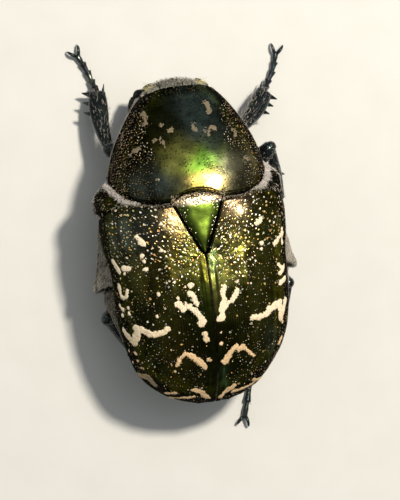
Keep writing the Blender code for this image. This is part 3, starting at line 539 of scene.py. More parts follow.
def new_piece(name, points, faces, finish_name, values=None):
    """A mesh object from design points in millimetres and faces, with its values on the points."""
    if not len(faces) or not np.isfinite(points).all():
        raise RuntimeError(f"The shape of {name} couldn't be worked out.")
    mesh = bpy.data.meshes.new(name)
    mesh.from_pydata(as_metres(points).tolist(), [], [list(f) for f in faces])
    for label, value in (values or {}).items():
        value = np.asarray(value, np.float32)
        if value.ndim > 1:
            mesh.attributes.new(label, "FLOAT_COLOR", "POINT").data.foreach_set("color", value.ravel())
        else:
            mesh.attributes.new(label, "FLOAT", "POINT").data.foreach_set("value", value)
    mesh.shade_smooth()
    mesh.materials.append(made_finish(finish_name))
    piece = bpy.data.objects.new(name, mesh)
    bpy.context.scene.collection.objects.link(piece)
    return piece


def unmarked(pit, glint, number, tint):
    """The values on a plate without cream marks."""
    return {"mark": 1 + 0 * pit, "pit": pit, "glint": glint, "number": number, "tint": tint, "cream": tint}


def metal_plate(name, grid, faces, values):
    """A piece of the polished metal finish from a grid of points and the values on them."""
    values = {key: value.reshape(grid.size // 3, -1).squeeze() for key, value in values.items()}
    return new_piece(name, grid.reshape(-1, 3), faces, "polished_metal_chitin", values)


def fit_to_frame(piece, slot, *nodes):
    """Lets the piece ride on the body and stand for the nodes, whose solids it hides. The slot is not used.
    """
    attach(piece, "root")
    if nodes:
        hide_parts(*nodes)
    return piece


def merged(parts):
    """One list of points and one of faces from several (points, faces)."""
    points, faces, start = [], [], 0
    for part_points, part_faces in parts:
        points.append(np.asarray(part_points, float).reshape(-1, 3))
        faces += [[i + start for i in face] for face in part_faces]
        start += len(points[-1])
    return np.concatenate(points), faces


def sheet(grid):
    """An open sheet as (points, faces) from a grid of points."""
    return grid.reshape(-1, 3), grid_faces(*grid.shape[:2]).tolist()


def mirrored(line, side):
    """A line's points on the left, or on the right where side is -1."""
    return [(side * x, s, z) for x, s, z in line]


def along(line, t):
    """Points on a smooth curve through the line's points, at shares t of its number of spans."""
    line = np.array(line, float)
    line = np.vstack((2 * line[0] - line[1], line, 2 * line[-1] - line[-2]))
    at = np.clip(np.asarray(t, float), 0, 1) * (len(line) - 3)
    i = np.minimum(at.astype(int), len(line) - 4)
    f = (at - i)[..., None]
    before, a, b, after = line[i], line[i + 1], line[i + 2], line[i + 3]
    return 0.5 * (2 * a + (b - before) * f + (2 * before - 5 * a + 4 * b - after) * f**2
                  + (3 * a - before - 3 * b + after) * f**3)


def tube(line, halves, up=(0, 0, 1), steps=24, sides=16, power=2.0, ends=0.5):
    """A closed limb along a smooth line, as (points, faces). halves gives (half width, half thickness)
    at even steps, and ends how far its ends swell out by half thickness."""
    t = np.linspace(0, 1, steps + 1)
    middle = along(line, t)
    ahead = unit(np.gradient(middle, axis=0))
    wide = unit(np.cross(ahead, up))
    deep = np.cross(wide, ahead)
    knots = np.linspace(0, 1, len(halves))
    width = smooth(np.c_[knots, [h[0] for h in halves]], t)
    depth = smooth(np.c_[knots, [h[1] for h in halves]], t)
    turn = np.linspace(0, 2 * math.pi, sides, endpoint=False)
    cos, sin = (np.sign(v) * np.abs(v) ** (2 / power) for v in (np.cos(turn), np.sin(turn)))
    body = (middle[:, None] + wide[:, None] * (width[:, None] * cos)[..., None]
            + deep[:, None] * (depth[:, None] * sin)[..., None])
    rings = [body]
    for place, sign in ((0, -1), (-1, 1)):
        for swell, shrink in ((0.7, 0.7), (1.0, 0.05)):
            ring = (middle[place] + (body[place] - middle[place]) * shrink
                    + ahead[place] * sign * swell * ends * depth[place])
            rings = [ring[None], *rings] if sign < 0 else [*rings, ring[None]]
    rings = np.concatenate(rings)
    return rings.reshape(-1, 3), closed_faces(len(rings), sides)


def ball(middle, radii, segments=24):
    """A closed ellipsoid as (points, faces)."""
    rows = segments // 2
    tilt = np.linspace(0.02, math.pi - 0.02, rows + 1)[:, None]
    turn = np.linspace(0, 2 * math.pi, segments, endpoint=False)[None]
    flat = np.sin(tilt)
    rings = np.stack((flat * np.cos(turn), flat * np.sin(turn), np.cos(tilt) + 0 * turn), axis=-1)
    return (rings * radii + middle).reshape(-1, 3), closed_faces(rows + 1, segments)


def pair_of_balls(middle, radii, segments=24):
    """A closed ellipsoid on the left and one on the right."""
    return [ball((side * middle[0], *middle[1:]), radii, segments) for side in (1, -1)]


def tinted(x, s, base, zones, colours, seed):
    """The metal's colour at each point, with painted light in some zones: the base with its zones blended in,
    their edges uneven.
    """
    colour = np.tile(np.array(colours[base]), (*np.shape(x), 1))
    wander = lattice_noise(x, s, 0.9, seed) * 0.3
    for name, middle, reach, strength in zones:
        weight = strength * np.clip(bump(x + wander, s + wander, middle, reach) * 1.4, 0, 1)
        colour = blended(colour, colours[name], weight)
    return colour


def palette(context):
    """The user's colours by name."""
    colours = context.scene.chafer_colours
    return {name: tuple(getattr(colours, name)) for name in ChaferColours.__annotations__}


def pronotum_lift(x, s):
    """Height of the pronotum's smooth surface."""
    edge = smooth(PRONOTUM_EDGE, s)
    return edge + (smooth(PRONOTUM_CREST, s) - edge) * dome(x / smooth(PRONOTUM_SIDE, s), TOP_POWER)


def elytra_half(s, side):
    """Half width of the elytra, a little more at the rear on the left than on the right."""
    return smooth(ELYTRA_SIDE, s) + side * ELYTRA_LEAN * bump(s, 0, (16.1, 0), (1.3, 1))


def elytra_lift(x, s):
    """Height of the elytra's smooth surface."""
    edge = smooth(ELYTRA_EDGE, s)
    return edge + (smooth(ELYTRA_CREST, s) - edge) * dome(x / elytra_half(s, np.sign(x)), TOP_POWER)


def scutellar_dip(x, s):
    """How far the elytra's base lies lower beside the scutellum, and rises in a low hump outside it."""
    hump = np.where(x > 0, 0.06, 0.14) * bump(np.abs(x), s, (2.6, 7.6), (0.9, 0.9))
    return 0.22 * np.exp(-(x / 1.5) ** 2) * (1 - ramp(s, 7.6, 12.4)) - hump


def node(tree, kind, settings=None, **links):
    """Adds a shader node. settings sets its properties or, by socket name, its values. Each link names
    a socket, with spaces as underscores, and gives the output that feeds it."""
    made = tree.nodes.new("ShaderNode" + kind)
    for key, value in (settings or {}).items():
        if isinstance(key, int) or key in made.inputs:
            made.inputs[key].default_value = value
        else:
            setattr(made, key, value)
    for key, output in links.items():
        key = key.replace("_", " ")
        tree.links.new(output, made.inputs[int(key[1:]) if key[0] == "n" and key[1:].isdigit() else key])
    return made


def blank_material(name):
    """A material with its Principled shader, as (material, tree, shader)."""
    made = bpy.data.materials.new(name)
    made.use_nodes = True
    return made, made.node_tree, made.node_tree.nodes["Principled BSDF"]


def position_mm(tree):
    """The object's own coordinates in millimetres."""
    place = node(tree, "TexCoord").outputs["Object"]
    return node(tree, "VectorMath", {"operation": "SCALE", "Scale": 1 / MM}, n0=place).outputs[0]


def chitin_metal(name):
    """Beetle cuticle with a metal sheen: stacked clear layers over dark chitin, polished, with pitted
    punctures whose floors are painted in pale gold and copper, partly pale scales and partly painted
    glints, and cream marks of flat scale-like hairs.
    The eye sees a dark mirror with a soft glow round each highlight, and dry matt marks on it."""
    made, tree, shader = blank_material(name)
    place = position_mm(tree)
    tint = node(tree, "Attribute", {"attribute_name": "tint"}).outputs["Color"]
    pit = node(tree, "Attribute", {"attribute_name": "pit"}).outputs["Fac"]
    glint = node(tree, "Attribute", {"attribute_name": "glint"}).outputs["Fac"]
    number = node(tree, "Attribute", {"attribute_name": "number"}).outputs["Fac"]
    # Cloudy shifts of the metal colour, about 0.6 mm across
    cloud = node(tree, "TexNoise", {"Scale": 1.6, "Detail": 3.0}, Vector=place).outputs["Fac"]
    shade = node(tree, "MapRange", {1: 0.3, 2: 0.7, 3: 0.65, 4: 1.35}, Value=cloud).outputs[0]
    multiply = {"blend_type": "MULTIPLY", "Fac": 1.0}
    metal = node(tree, "MixRGB", multiply, Color1=tint, Color2=shade).outputs[0]
    # Each puncture: a dark wall, painted shade of its hollow, and a bright floor, partly pale scales and
    # partly a painted glint, the floor's colour drawn for each
    wall = node(tree, "MapRange", {1: 0.9, 2: 1.7, 3: 0.2, 4: 1.0}, Value=pit).outputs[0]
    metal = node(tree, "MixRGB", multiply, Color1=metal, Color2=wall).outputs[0]
    colours = node(tree, "ValToRGB", Fac=number)
    stops = colours.color_ramp.elements
    stops[0].color = hex_colour("#FFFAF2")
    stops[1].color = hex_colour("#E2ECF8")
    for at, text in ((0.4, "#FFF2D2"), (0.56, "#FFE08C"), (0.7, "#FFBE78"), (0.78, "#F2E070"),
                     (0.86, "#FFD6C4"), (0.94, "#D6EEB0")):
        stops.new(at).color = hex_colour(text)
    floor = node(tree, "MapRange", {1: 0.92, 2: 0.66, 3: 0.0, 4: 1.0}, Value=pit).outputs[0]
    floor = node(tree, "Math", {"operation": "MULTIPLY"}, n0=floor, n1=glint).outputs[0]
    metal = node(tree, "MixRGB", Fac=floor, Color1=metal, Color2=colours.outputs[0]).outputs[0]
    metallic = node(tree, "MapRange", {1: 0.0, 2: 1.0, 3: 0.96, 4: 0.2}, Value=floor).outputs[0]
    rough = node(tree, "MapRange", {1: 0.3, 2: 0.7, 3: 0.17, 4: 0.26}, Value=cloud).outputs[0]
    rough = node(tree, "Math", {"operation": "MULTIPLY_ADD", 1: 0.12}, n0=floor, n2=rough).outputs[0]
    # Grain of the cuticle's fine net, drawn at 0.05 mm so that it can show
    grain = node(tree, "TexNoise", {"Scale": 20.0, "Detail": 2.0}, Vector=place).outputs["Fac"]
    mark = node(tree, "Attribute", {"attribute_name": "mark"}).outputs["Fac"]
    # Ragged to about 0.03 mm, the length that the scale-like hairs reach over the edge
    fray = node(tree, "TexNoise", {"Scale": 14.0, "Detail": 3.0}, Vector=place).outputs["Fac"]
    fray = node(tree, "MapRange", {1: 0.3, 2: 0.7, 3: -0.035, 4: 0.035}, Value=fray).outputs[0]
    edge = node(tree, "Math", {"operation": "ADD"}, n0=mark, n1=fray).outputs[0]
    cover = node(tree, "MapRange", {1: 0.02, 2: -0.015, 3: 0.0, 4: 1.0}, Value=edge).outputs[0]
    cream = node(tree, "Attribute", {"attribute_name": "cream"}).outputs["Color"]
    # Light and dark tufts of the felt, about 0.1 mm across
    felt = node(tree, "TexNoise", {"Scale": 9.0, "Detail": 4.0, "Roughness": 0.7}, Vector=place)
    felt = node(tree, "MapRange", {1: 0.3, 2: 0.7, 3: 0.7, 4: 1.18}, Value=felt.outputs["Fac"]).outputs[0]
    cream = node(tree, "MixRGB", multiply, Color1=cream, Color2=felt).outputs[0]
    metal = node(tree, "MixRGB", Fac=cover, Color1=metal, Color2=cream).outputs[0]
    bare = node(tree, "Math", {"operation": "SUBTRACT", 0: 1.0}, n1=cover).outputs[0]
    metallic = node(tree, "Math", {"operation": "MULTIPLY"}, n0=metallic, n1=bare).outputs[0]
    matt = node(tree, "Math", {"operation": "MULTIPLY", 1: 0.6}, n0=cover).outputs[0]
    rough = node(tree, "Math", {"operation": "ADD"}, n0=rough, n1=matt).outputs[0]
    height = node(tree, "Math", {"operation": "MULTIPLY_ADD"}, n0=felt, n1=cover, n2=grain).outputs[0]
    relief = node(tree, "Bump", {"Strength": 0.25, "Distance": 0.01 * MM}, Height=height).outputs[0]
    tree.links.new(metal, shader.inputs["Base Color"])
    tree.links.new(metallic, shader.inputs["Metallic"])
    tree.links.new(rough, shader.inputs["Roughness"])
    tree.links.new(relief, shader.inputs["Normal"])
    shader.inputs["Specular Tint"].default_value = hex_colour("#6A5A3A")
    return made


def bare_chitin(name, colour, gleam, roughness, coat=0.3, film=(0, 0)):
    """Hard dark cuticle as grown, waxy and faintly ridged: near black, clouded with a coloured gleam,
    with small bright glosses. film is the outer layer's least and greatest thickness in nanometres,
    which turns the glosses blue and orange."""
    made, tree, shader = blank_material(name)
    place = position_mm(tree)
    cloud = node(tree, "TexNoise", {"Scale": 1.3, "Detail": 3.0}, Vector=place).outputs["Fac"]
    share = node(tree, "MapRange", {1: 0.35, 2: 0.7}, Value=cloud).outputs[0]
    ends = {"Color1": hex_colour(colour), "Color2": hex_colour(gleam)}
    tone = node(tree, "MixRGB", ends, Fac=share).outputs[0]
    # Ridges and punctures of about 0.12 mm
    cells = node(tree, "TexVoronoi", {"Scale": 8.0}, Vector=place).outputs["Distance"]
    cells = node(tree, "MapRange", {1: 0.1, 2: 0.4}, Value=cells).outputs[0]
    relief = node(tree, "Bump", {"Strength": 0.5, "Distance": 0.02 * MM}, Height=cells).outputs[0]
    least, most = roughness - 0.06, roughness + 0.1
    rough = node(tree, "MapRange", {1: 0.3, 2: 0.7, 3: least, 4: most}, Value=cloud).outputs[0]
    tree.links.new(tone, shader.inputs["Base Color"])
    tree.links.new(rough, shader.inputs["Roughness"])
    tree.links.new(relief, shader.inputs["Normal"])
    shader.inputs["Metallic"].default_value = 0.55
    shader.inputs["Coat Weight"].default_value = coat
    shader.inputs["Coat Roughness"].default_value = 0.12
    if film[1]:
        layer = node(tree, "MapRange", {1: 0.4, 2: 0.6, 3: film[0], 4: film[1]}, Value=cloud).outputs[0]
        tree.links.new(layer, shader.inputs["Thin Film Thickness"])
        shader.inputs["Thin Film IOR"].default_value = 1.6
    return made


def compound_eye(name):
    """Compound eye: clear corneal lenses over dark pigment, each lens about 0.03 mm, drawn at 0.05 mm so
    that the net can show. One sees a deep brown gloss broken into fine facets."""
    made, tree, shader = blank_material(name)
    place = position_mm(tree)
    lens = node(tree, "TexVoronoi", {"Scale": 19.0}, Vector=place).outputs["Distance"]
    tone = node(tree, "MapRange", {1: 0.0, 2: 0.6}, Value=lens).outputs[0]
    ends = {"Color1": hex_colour("#2A1A10"), "Color2": hex_colour("#0C0806")}
    tone = node(tree, "MixRGB", ends, Fac=tone).outputs[0]
    relief = {"Strength": 0.6, "Distance": 0.015 * MM, "invert": True}
    relief = node(tree, "Bump", relief, Height=lens).outputs[0]
    tree.links.new(tone, shader.inputs["Base Color"])
    tree.links.new(relief, shader.inputs["Normal"])
    shader.inputs["Roughness"].default_value = 0.12
    shader.inputs["IOR"].default_value = 1.56
    shader.inputs["Coat Weight"].default_value = 0.6
    return made


def insect_hair(name, root, tip):
    """Chitin bristles: thin clear-walled hairs, paler to their tips. The eye sees each one catch the light
    along its length, and no two quite alike."""
    made, tree, shader = blank_material(name)
    share = node(tree, "Attribute", {"attribute_name": "tip"}).outputs["Fac"]
    number = node(tree, "Attribute", {"attribute_name": "number"}).outputs["Fac"]
    ends = {"Color1": hex_colour(root), "Color2": hex_colour(tip)}
    tone = node(tree, "MixRGB", ends, Fac=share).outputs[0]
    vary = node(tree, "MapRange", {1: 0.0, 2: 1.0, 3: 0.35, 4: 1.3}, Value=number).outputs[0]
    tone = node(tree, "MixRGB", {"blend_type": "MULTIPLY", "Fac": 1.0}, Color1=tone, Color2=vary).outputs[0]
    tree.links.new(tone, shader.inputs["Base Color"])
    shader.inputs["Roughness"].default_value = 0.38
    shader.inputs["IOR"].default_value = 1.55
    shader.inputs["Sheen Weight"].default_value = 0.3
    return made


def matt_card(name):
    """Uncoated card, pressed smooth: pale, matt and faintly clouded, so the eye sees a plain floor."""
    made, tree, shader = blank_material(name)
    fleck = node(tree, "TexNoise", {"Scale": 0.4, "Detail": 2.0}, Vector=position_mm(tree)).outputs["Fac"]
    tones = {"Color1": hex_colour("#D2D4D2"), "Color2": hex_colour("#DBDDDC")}
    tone = node(tree, "MixRGB", tones, Fac=fleck)
    tree.links.new(tone.outputs[0], shader.inputs["Base Color"])
    shader.inputs["Roughness"].default_value = 0.9
    return made


def hair_coat(name, slot, bristle, hairs, lie, length, width, rise, spread, seed):
    """Many thin hairs as one piece. hairs holds their roots, the skin's normals at them and their spots
    on the skin's unwrap, for the bake map. Each hair is a three-sided spike that bends over from the
    normal to the lie of the coat, and rise is how far it stands up."""
    roots, normals, spots = hairs
    rng = np.random.default_rng(seed)
    count = len(roots)
    length = length * rng.uniform(0.65, 1.2, (count, 1))
    width = width * rng.uniform(0.8, 1.2, (count, 1))
    swirl = [lattice_noise(roots[:, 1] + k, roots[:, 0] + roots[:, 2], 0.35, 7 + k) for k in range(3)]
    lie = np.array(lie, float) + rng.normal(0, spread, (count, 3)) + np.stack(swirl, axis=1) * 0.3
    lie -= normals * np.sum(lie * normals, axis=1, keepdims=True)
    lie /= np.maximum(np.linalg.norm(lie, axis=1, keepdims=True), 1e-6)
    stand = normals * rise * rng.uniform(0.6, 1.4, (count, 1))
    first = (stand + lie * 0.6) * length * 0.5
    second = first + (stand * 0.35 + lie) * length * 0.5
    wide = np.cross(lie, normals)
    # Three corners at the root, sunk into the skin, three at the bend, and the tip
    points = np.empty((count, 7, 3))
    for k, turn in enumerate((0.0, 2.094, 4.189)):
        out = wide * math.cos(turn) + normals * math.sin(turn)
        points[:, k] = roots + out * width - normals * 0.03
        points[:, k + 3] = roots + first + out * width * 0.75
    points[:, 6] = roots + second
    faces = []
    for face in ((0, 1, 4, 3), (1, 2, 5, 4), (2, 0, 3, 5), (3, 4, 6), (4, 5, 6), (5, 3, 6)):
        faces += (np.arange(count)[:, None] * 7 + np.array(face)).tolist()
    tip = np.tile((0, 0, 0, 0.6, 0.6, 0.6, 1.0), count)
    number = np.repeat(rng.uniform(0, 1, count), 7)
    coat = new_piece(name, points.reshape(-1, 3), faces, bristle, {"tip": tip, "number": number})
    patch = np.array(((-1, -1), (0, -1.2), (1, -1), (-0.6, 0.2), (0, 0), (0.6, 0.2), (0, 1.3))) * TUFT_HALF
    place = ((spots * MAP_SHARE + MAP_EDGE)[:, None] + patch[None]).reshape(-1, 2)
    corners = np.zeros(len(coat.data.loops), int)
    coat.data.loops.foreach_get("vertex_index", corners)
    layer = coat.data.uv_layers.new(name="OFBake")
    layer.data.foreach_set("uv", np.clip(place[corners], 0, 1).astype(np.float32).ravel())
    fit_to_frame(coat, slot)


def scatter(grid, count, seed, weight=None):
    """Random places on a grid of points, more where the weight is more, as (points, normals, row and
    column shares)."""
    rng = np.random.default_rng(seed)
    rows, columns = grid.shape[:2]
    normals = grid_normals(grid)
    area = np.linalg.norm(np.cross(np.gradient(grid, axis=0), np.gradient(grid, axis=1)), axis=-1)
    if weight is not None:
        area = area * weight
    chance = (area / area.sum()).ravel()
    pick = rng.choice(rows * columns, count, p=chance)
    i, j = pick // columns, pick % columns
    u = np.clip(i + rng.uniform(-0.5, 0.5, count), 0, rows - 1.001)
    v = np.clip(j + rng.uniform(-0.5, 0.5, count), 0, columns - 1.001)
    i, j = u.astype(int), v.astype(int)
    f, g = (u - i)[:, None], (v - j)[:, None]

    def blend(array):
        return ((array[i, j] * (1 - g) + array[i, j + 1] * g) * (1 - f)
                + (array[i + 1, j] * (1 - g) + array[i + 1, j + 1] * g) * f)

    return blend(grid), unit(blend(normals)), np.c_[u / rows, v / columns]


def face_out(hairs, middle):
    """The hairs with every normal turned away from the middle."""
    roots, normals, spots = hairs
    inward = np.sum(normals * (roots - middle), axis=1) < 0
    normals[inward] *= -1
    return roots, normals, spots


def elytron_row(across, share):
    """Stations of one row of the elytron, from its front edge at share 0 to its end at share 1."""
    start = smooth(ELYTRA_FRONT, across)
    return start + (ELYTRA_END - start) * share


def elytron_grid(side, rows, columns):
    """The elytron's smooth surface, from its inner edge out and from its front back."""
    shares = even_rows((6.4, ELYTRA_END), (ELYTRA_SIDE, ELYTRA_CREST), rows)
    lines = []
    for share in shares:
        turn = np.linspace(0, 1, 260) * math.pi / 2
        across = np.sin(turn) ** (2 / TOP_POWER)
        s = elytron_row(across, share)
        half = elytra_half(s, side)
        inner = np.where(s < 9.5, smooth(SCUTELLUM_SIDE, s) + 0.05, 0.02)
        first = float(np.interp(0, across * half - inner, turn))
        turn = np.linspace(first, math.pi / 2, 400)
        across = np.sin(turn) ** (2 / TOP_POWER)
        up = np.clip(np.cos(turn), 0, None) ** (2 / TOP_POWER)
        s = elytron_row(across, share)
        edge = smooth(ELYTRA_EDGE, s)
        # The shoulder's hump, and the one before the tip
        swell = 0.14 * bump(across, s, (0.8, 7.7), (0.16, 1.0))
        swell = swell + 0.14 * bump(across, s, (0.62, 15.6), (0.25, 0.9))
        z = edge + (smooth(ELYTRA_CREST, s) - edge) * up + swell
        x = across * (elytra_half(s, side) + swell * 0.5)
        z = z - scutellar_dip(side * x, s)
        lines.append(np.c_[side * x, s, z])
    return even_columns(lines, columns)


def elytron_relief(arc, out, s, seed):
    """The elytron's height over its smooth surface: the raised suture, a groove beside it, the hollow,
    two low ribs, the side rim and the comb of fine grooves. Also the comb's reach and its grooves."""
    back = ramp(s, *SUTURE_START)
    suture = 0.06 * back * (1 - ramp(arc, 0.25, 0.45))
    beside = 0.02 * back * bump(arc, 0 * s, (0.5, 0), (0.12, 1))
    long_hollow = 0.1 * bump(arc, s, (1.2, 13.6), (0.6, 2.4))
    height = suture - beside - long_hollow
    for place, reach, rise, start, end in ELYTRA_RIBS:
        height += rise * bump(arc, 0 * s, (place, 0), (reach, 1)) * ramp(s, *start) * (1 - ramp(s, *end))
    side_rim = 0.05 * (1 - ramp(out, 0.06, 0.16)) * ramp(s, 7.0, 8.0)
    height += side_rim
    height += 0.012 * lattice_noise(arc, s, 0.7, seed) + 0.006 * lattice_noise(arc, s, 0.22, seed + 1)
    comb = ramp(s, 10.8, 12.0) * (1 - ramp(s, 14.6, 15.6)) * ramp(arc, 0.55, 0.7) * (1 - ramp(arc, 1.9, 2.3))
    bend = 0.02 * lattice_noise(arc, s, 0.8, 5)
    groove = comb * (0.5 + 0.5 * np.cos(2 * math.pi * (arc + bend) / COMB_SPACING))
    return height - COMB_DEPTH * groove, comb, groove


def elytron_punctures(sizes, arc, s, side, comb, seed):
    """Large punctures that crowd on the front of the disc and fine ones nearly everywhere: the distance
    to the nearest of each kind, in radii, and the nearer one's random number."""
    across = arc * side + PATTERN_SHIFT
    large, number = pits(across, s, sizes.pit_spacing / MM, sizes.pit_width / MM / 2, seed + 2)
    fine, fine_number = pits(across, s, *ELYTRA_FINE_PITS, seed + 3, 0.9)
    strip = ramp(s, *SUTURE_START) * (1 - ramp(arc, 0.36, 0.5))
    crowd = np.clip(sum(much * bump(arc, s, middle, reach) for much, middle, reach in ELYTRA_CROWDS), 0, 1)
    large = large + 3 * strip + 3 * (number > crowd + 0.06)
    fine = fine + 3 * strip + 3 * (fine_number > 0.85 - 0.35 * comb)
    number = number / (crowd + 0.06)
    return large, fine, np.clip(np.where(large < fine, number, fine_number / 0.85), 0, 1)


def elytron_piece(context, word, side, marks, zones, seed):
    """One wing case with its sculpture, punctures and marks."""
    colours = palette(context)
    rows, columns = ((460, 280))
    grid = elytron_grid(side, rows, columns)
    normal = grid_normals(grid) * side
    x, s = np.abs(grid[..., 0]), grid[..., 1]
    arc = run_across(grid)
    out = arc[:, -1:] - arc
    mark = stroke_distance(grid, marks, elytra_lift)
    mark = mark + lattice_noise(x, s, 0.17, seed + 7) * 0.05 + lattice_noise(x, s, 0.08, seed + 8) * 0.03
    clear = ramp(mark, 0.0, 0.06)
    height, comb, groove = elytron_relief(arc, out, s, seed)
    large, fine, number = elytron_punctures(context.scene.chafer_sizes, arc, s, side, comb, seed)
    height -= (hollow(large, 0.022) + hollow(fine, 0.012)) * clear
    # The marks stand up from the plate, with a rough top
    height += 0.035 * (1 - ramp(mark, -0.08, 0.02)) + 0.012 * lattice_noise(x, s, 0.09, 3) * (1 - clear)
    # The front and inner edges roll over
    front = s - smooth(ELYTRA_FRONT, x / smooth(ELYTRA_SIDE, s))
    height -= 0.14 * (1 - ramp(front, 0.0, 0.3)) + 0.06 * (1 - ramp(arc, 0.0, 0.1)) * (1 - ramp(s, 9.2, 9.8))
    height -= 0.03 * (1 - ramp(arc, 0.0, 0.05)) * ramp(s, 9.2, 9.8)
    grid = grid + normal * height[..., None]
    # Painted glints: how brightly each puncture's floor is painted, the fine ones in patches
    shine = 0.5 + 0.5 * ramp(lattice_noise(arc, s, 0.8, seed + 4), -0.6, 0.2)
    fine_bright = shine * (0.12 + 0.88 * luck(number) ** 2)
    bright = np.where(large < fine, 0.3 + 0.7 * luck(number), fine_bright) * clear
    # A painted highlight: the inner edge is painted as a fine bright line
    rim = ramp(s, 9.7, 10.2) * (1 - ramp(arc, 0.012, 0.034))
    pit = np.minimum(large, fine) * (1 - rim)
    bright = bright * (1 - rim) + 0.4 * rim * (1 - 0.6 * ramp(s, 12, 15))
    tint = tinted(grid[..., 0], s, "black", zones, colours, seed + 5)
    # Painted shade in the comb's grooves and beside the scutellum's tip, where it damps the lamp's glow, and
    # darker along the suture's seam
    dark = (1 - 0.65 * groove) * (1 - 0.75 * ramp(s, *SUTURE_START) * (1 - ramp(arc, 0.02, 0.06)))
    dark = dark * (1 - 0.45 * bump(x, s, (0.95, 8.9), (0.65, 1.1)))
    tint[..., :3] *= dark[..., None]
    cream = np.tile(np.array(colours["cream"]), (rows, columns, 1))
    cream = blended(cream, colours["tan"], 0.85 * ramp(s, 12.6, 15.0))
    cream = blended(cream, colours["drab"], 0.8 * ramp(s, 15.0, 15.8) * ramp(x, 2.7, 3.2))
    values = {"mark": mark, "pit": pit, "glint": bright, "number": number, "tint": tint, "cream": cream}
    inward = np.array((-side, 0, 0))
    grid, values = add_skirt(
        grid, values,
        front=[DOWN * 0.1 + (0, 0.02, 0), DOWN * 0.3 + (0, 0.05, 0), DOWN * 0.6 + (0, 0.2, 0)],
        rear=[DOWN * 0.06 + (0, -0.02, 0), DOWN * 0.2 + (0, -0.08, 0), DOWN * 0.42 + (0, -0.3, 0)],
        first=[DOWN * 0.08, DOWN * 0.25 - inward * 0.03, DOWN * 0.5 - inward * 0.06],
        last=[DOWN * 0.05, DOWN * 0.09 + inward * 0.08, DOWN * 0.08 + inward * 0.25, inward * 0.6],
    )
    faces = grid_faces(*grid.shape[:2])[:, ::-side].tolist()
    piece = metal_plate("wing_case_" + word, grid, faces, values)
    fit_to_frame(piece, "bronze_cuticle", "elytron_" + word)


def pronotum_grid(rows, columns):
    """The pronotum's smooth surface, from its right side to its left and from its front back."""
    shares = even_rows((0, 6.2), (PRONOTUM_SIDE, PRONOTUM_CREST), rows)
    turn = np.linspace(-1, 1, 900) * math.pi / 2
    across = np.sign(turn) * np.abs(np.sin(turn)) ** (2 / TOP_POWER)
    lines = []
    for share in shares:
        front = smooth(PRONOTUM_FRONT, np.abs(across))
        s = front + (smooth(PRONOTUM_BASE, np.abs(across)) - front) * share
        x = across * smooth(PRONOTUM_SIDE, s)
        lines.append(np.c_[x, s, pronotum_lift(x, s)])
    return even_columns(lines, columns)


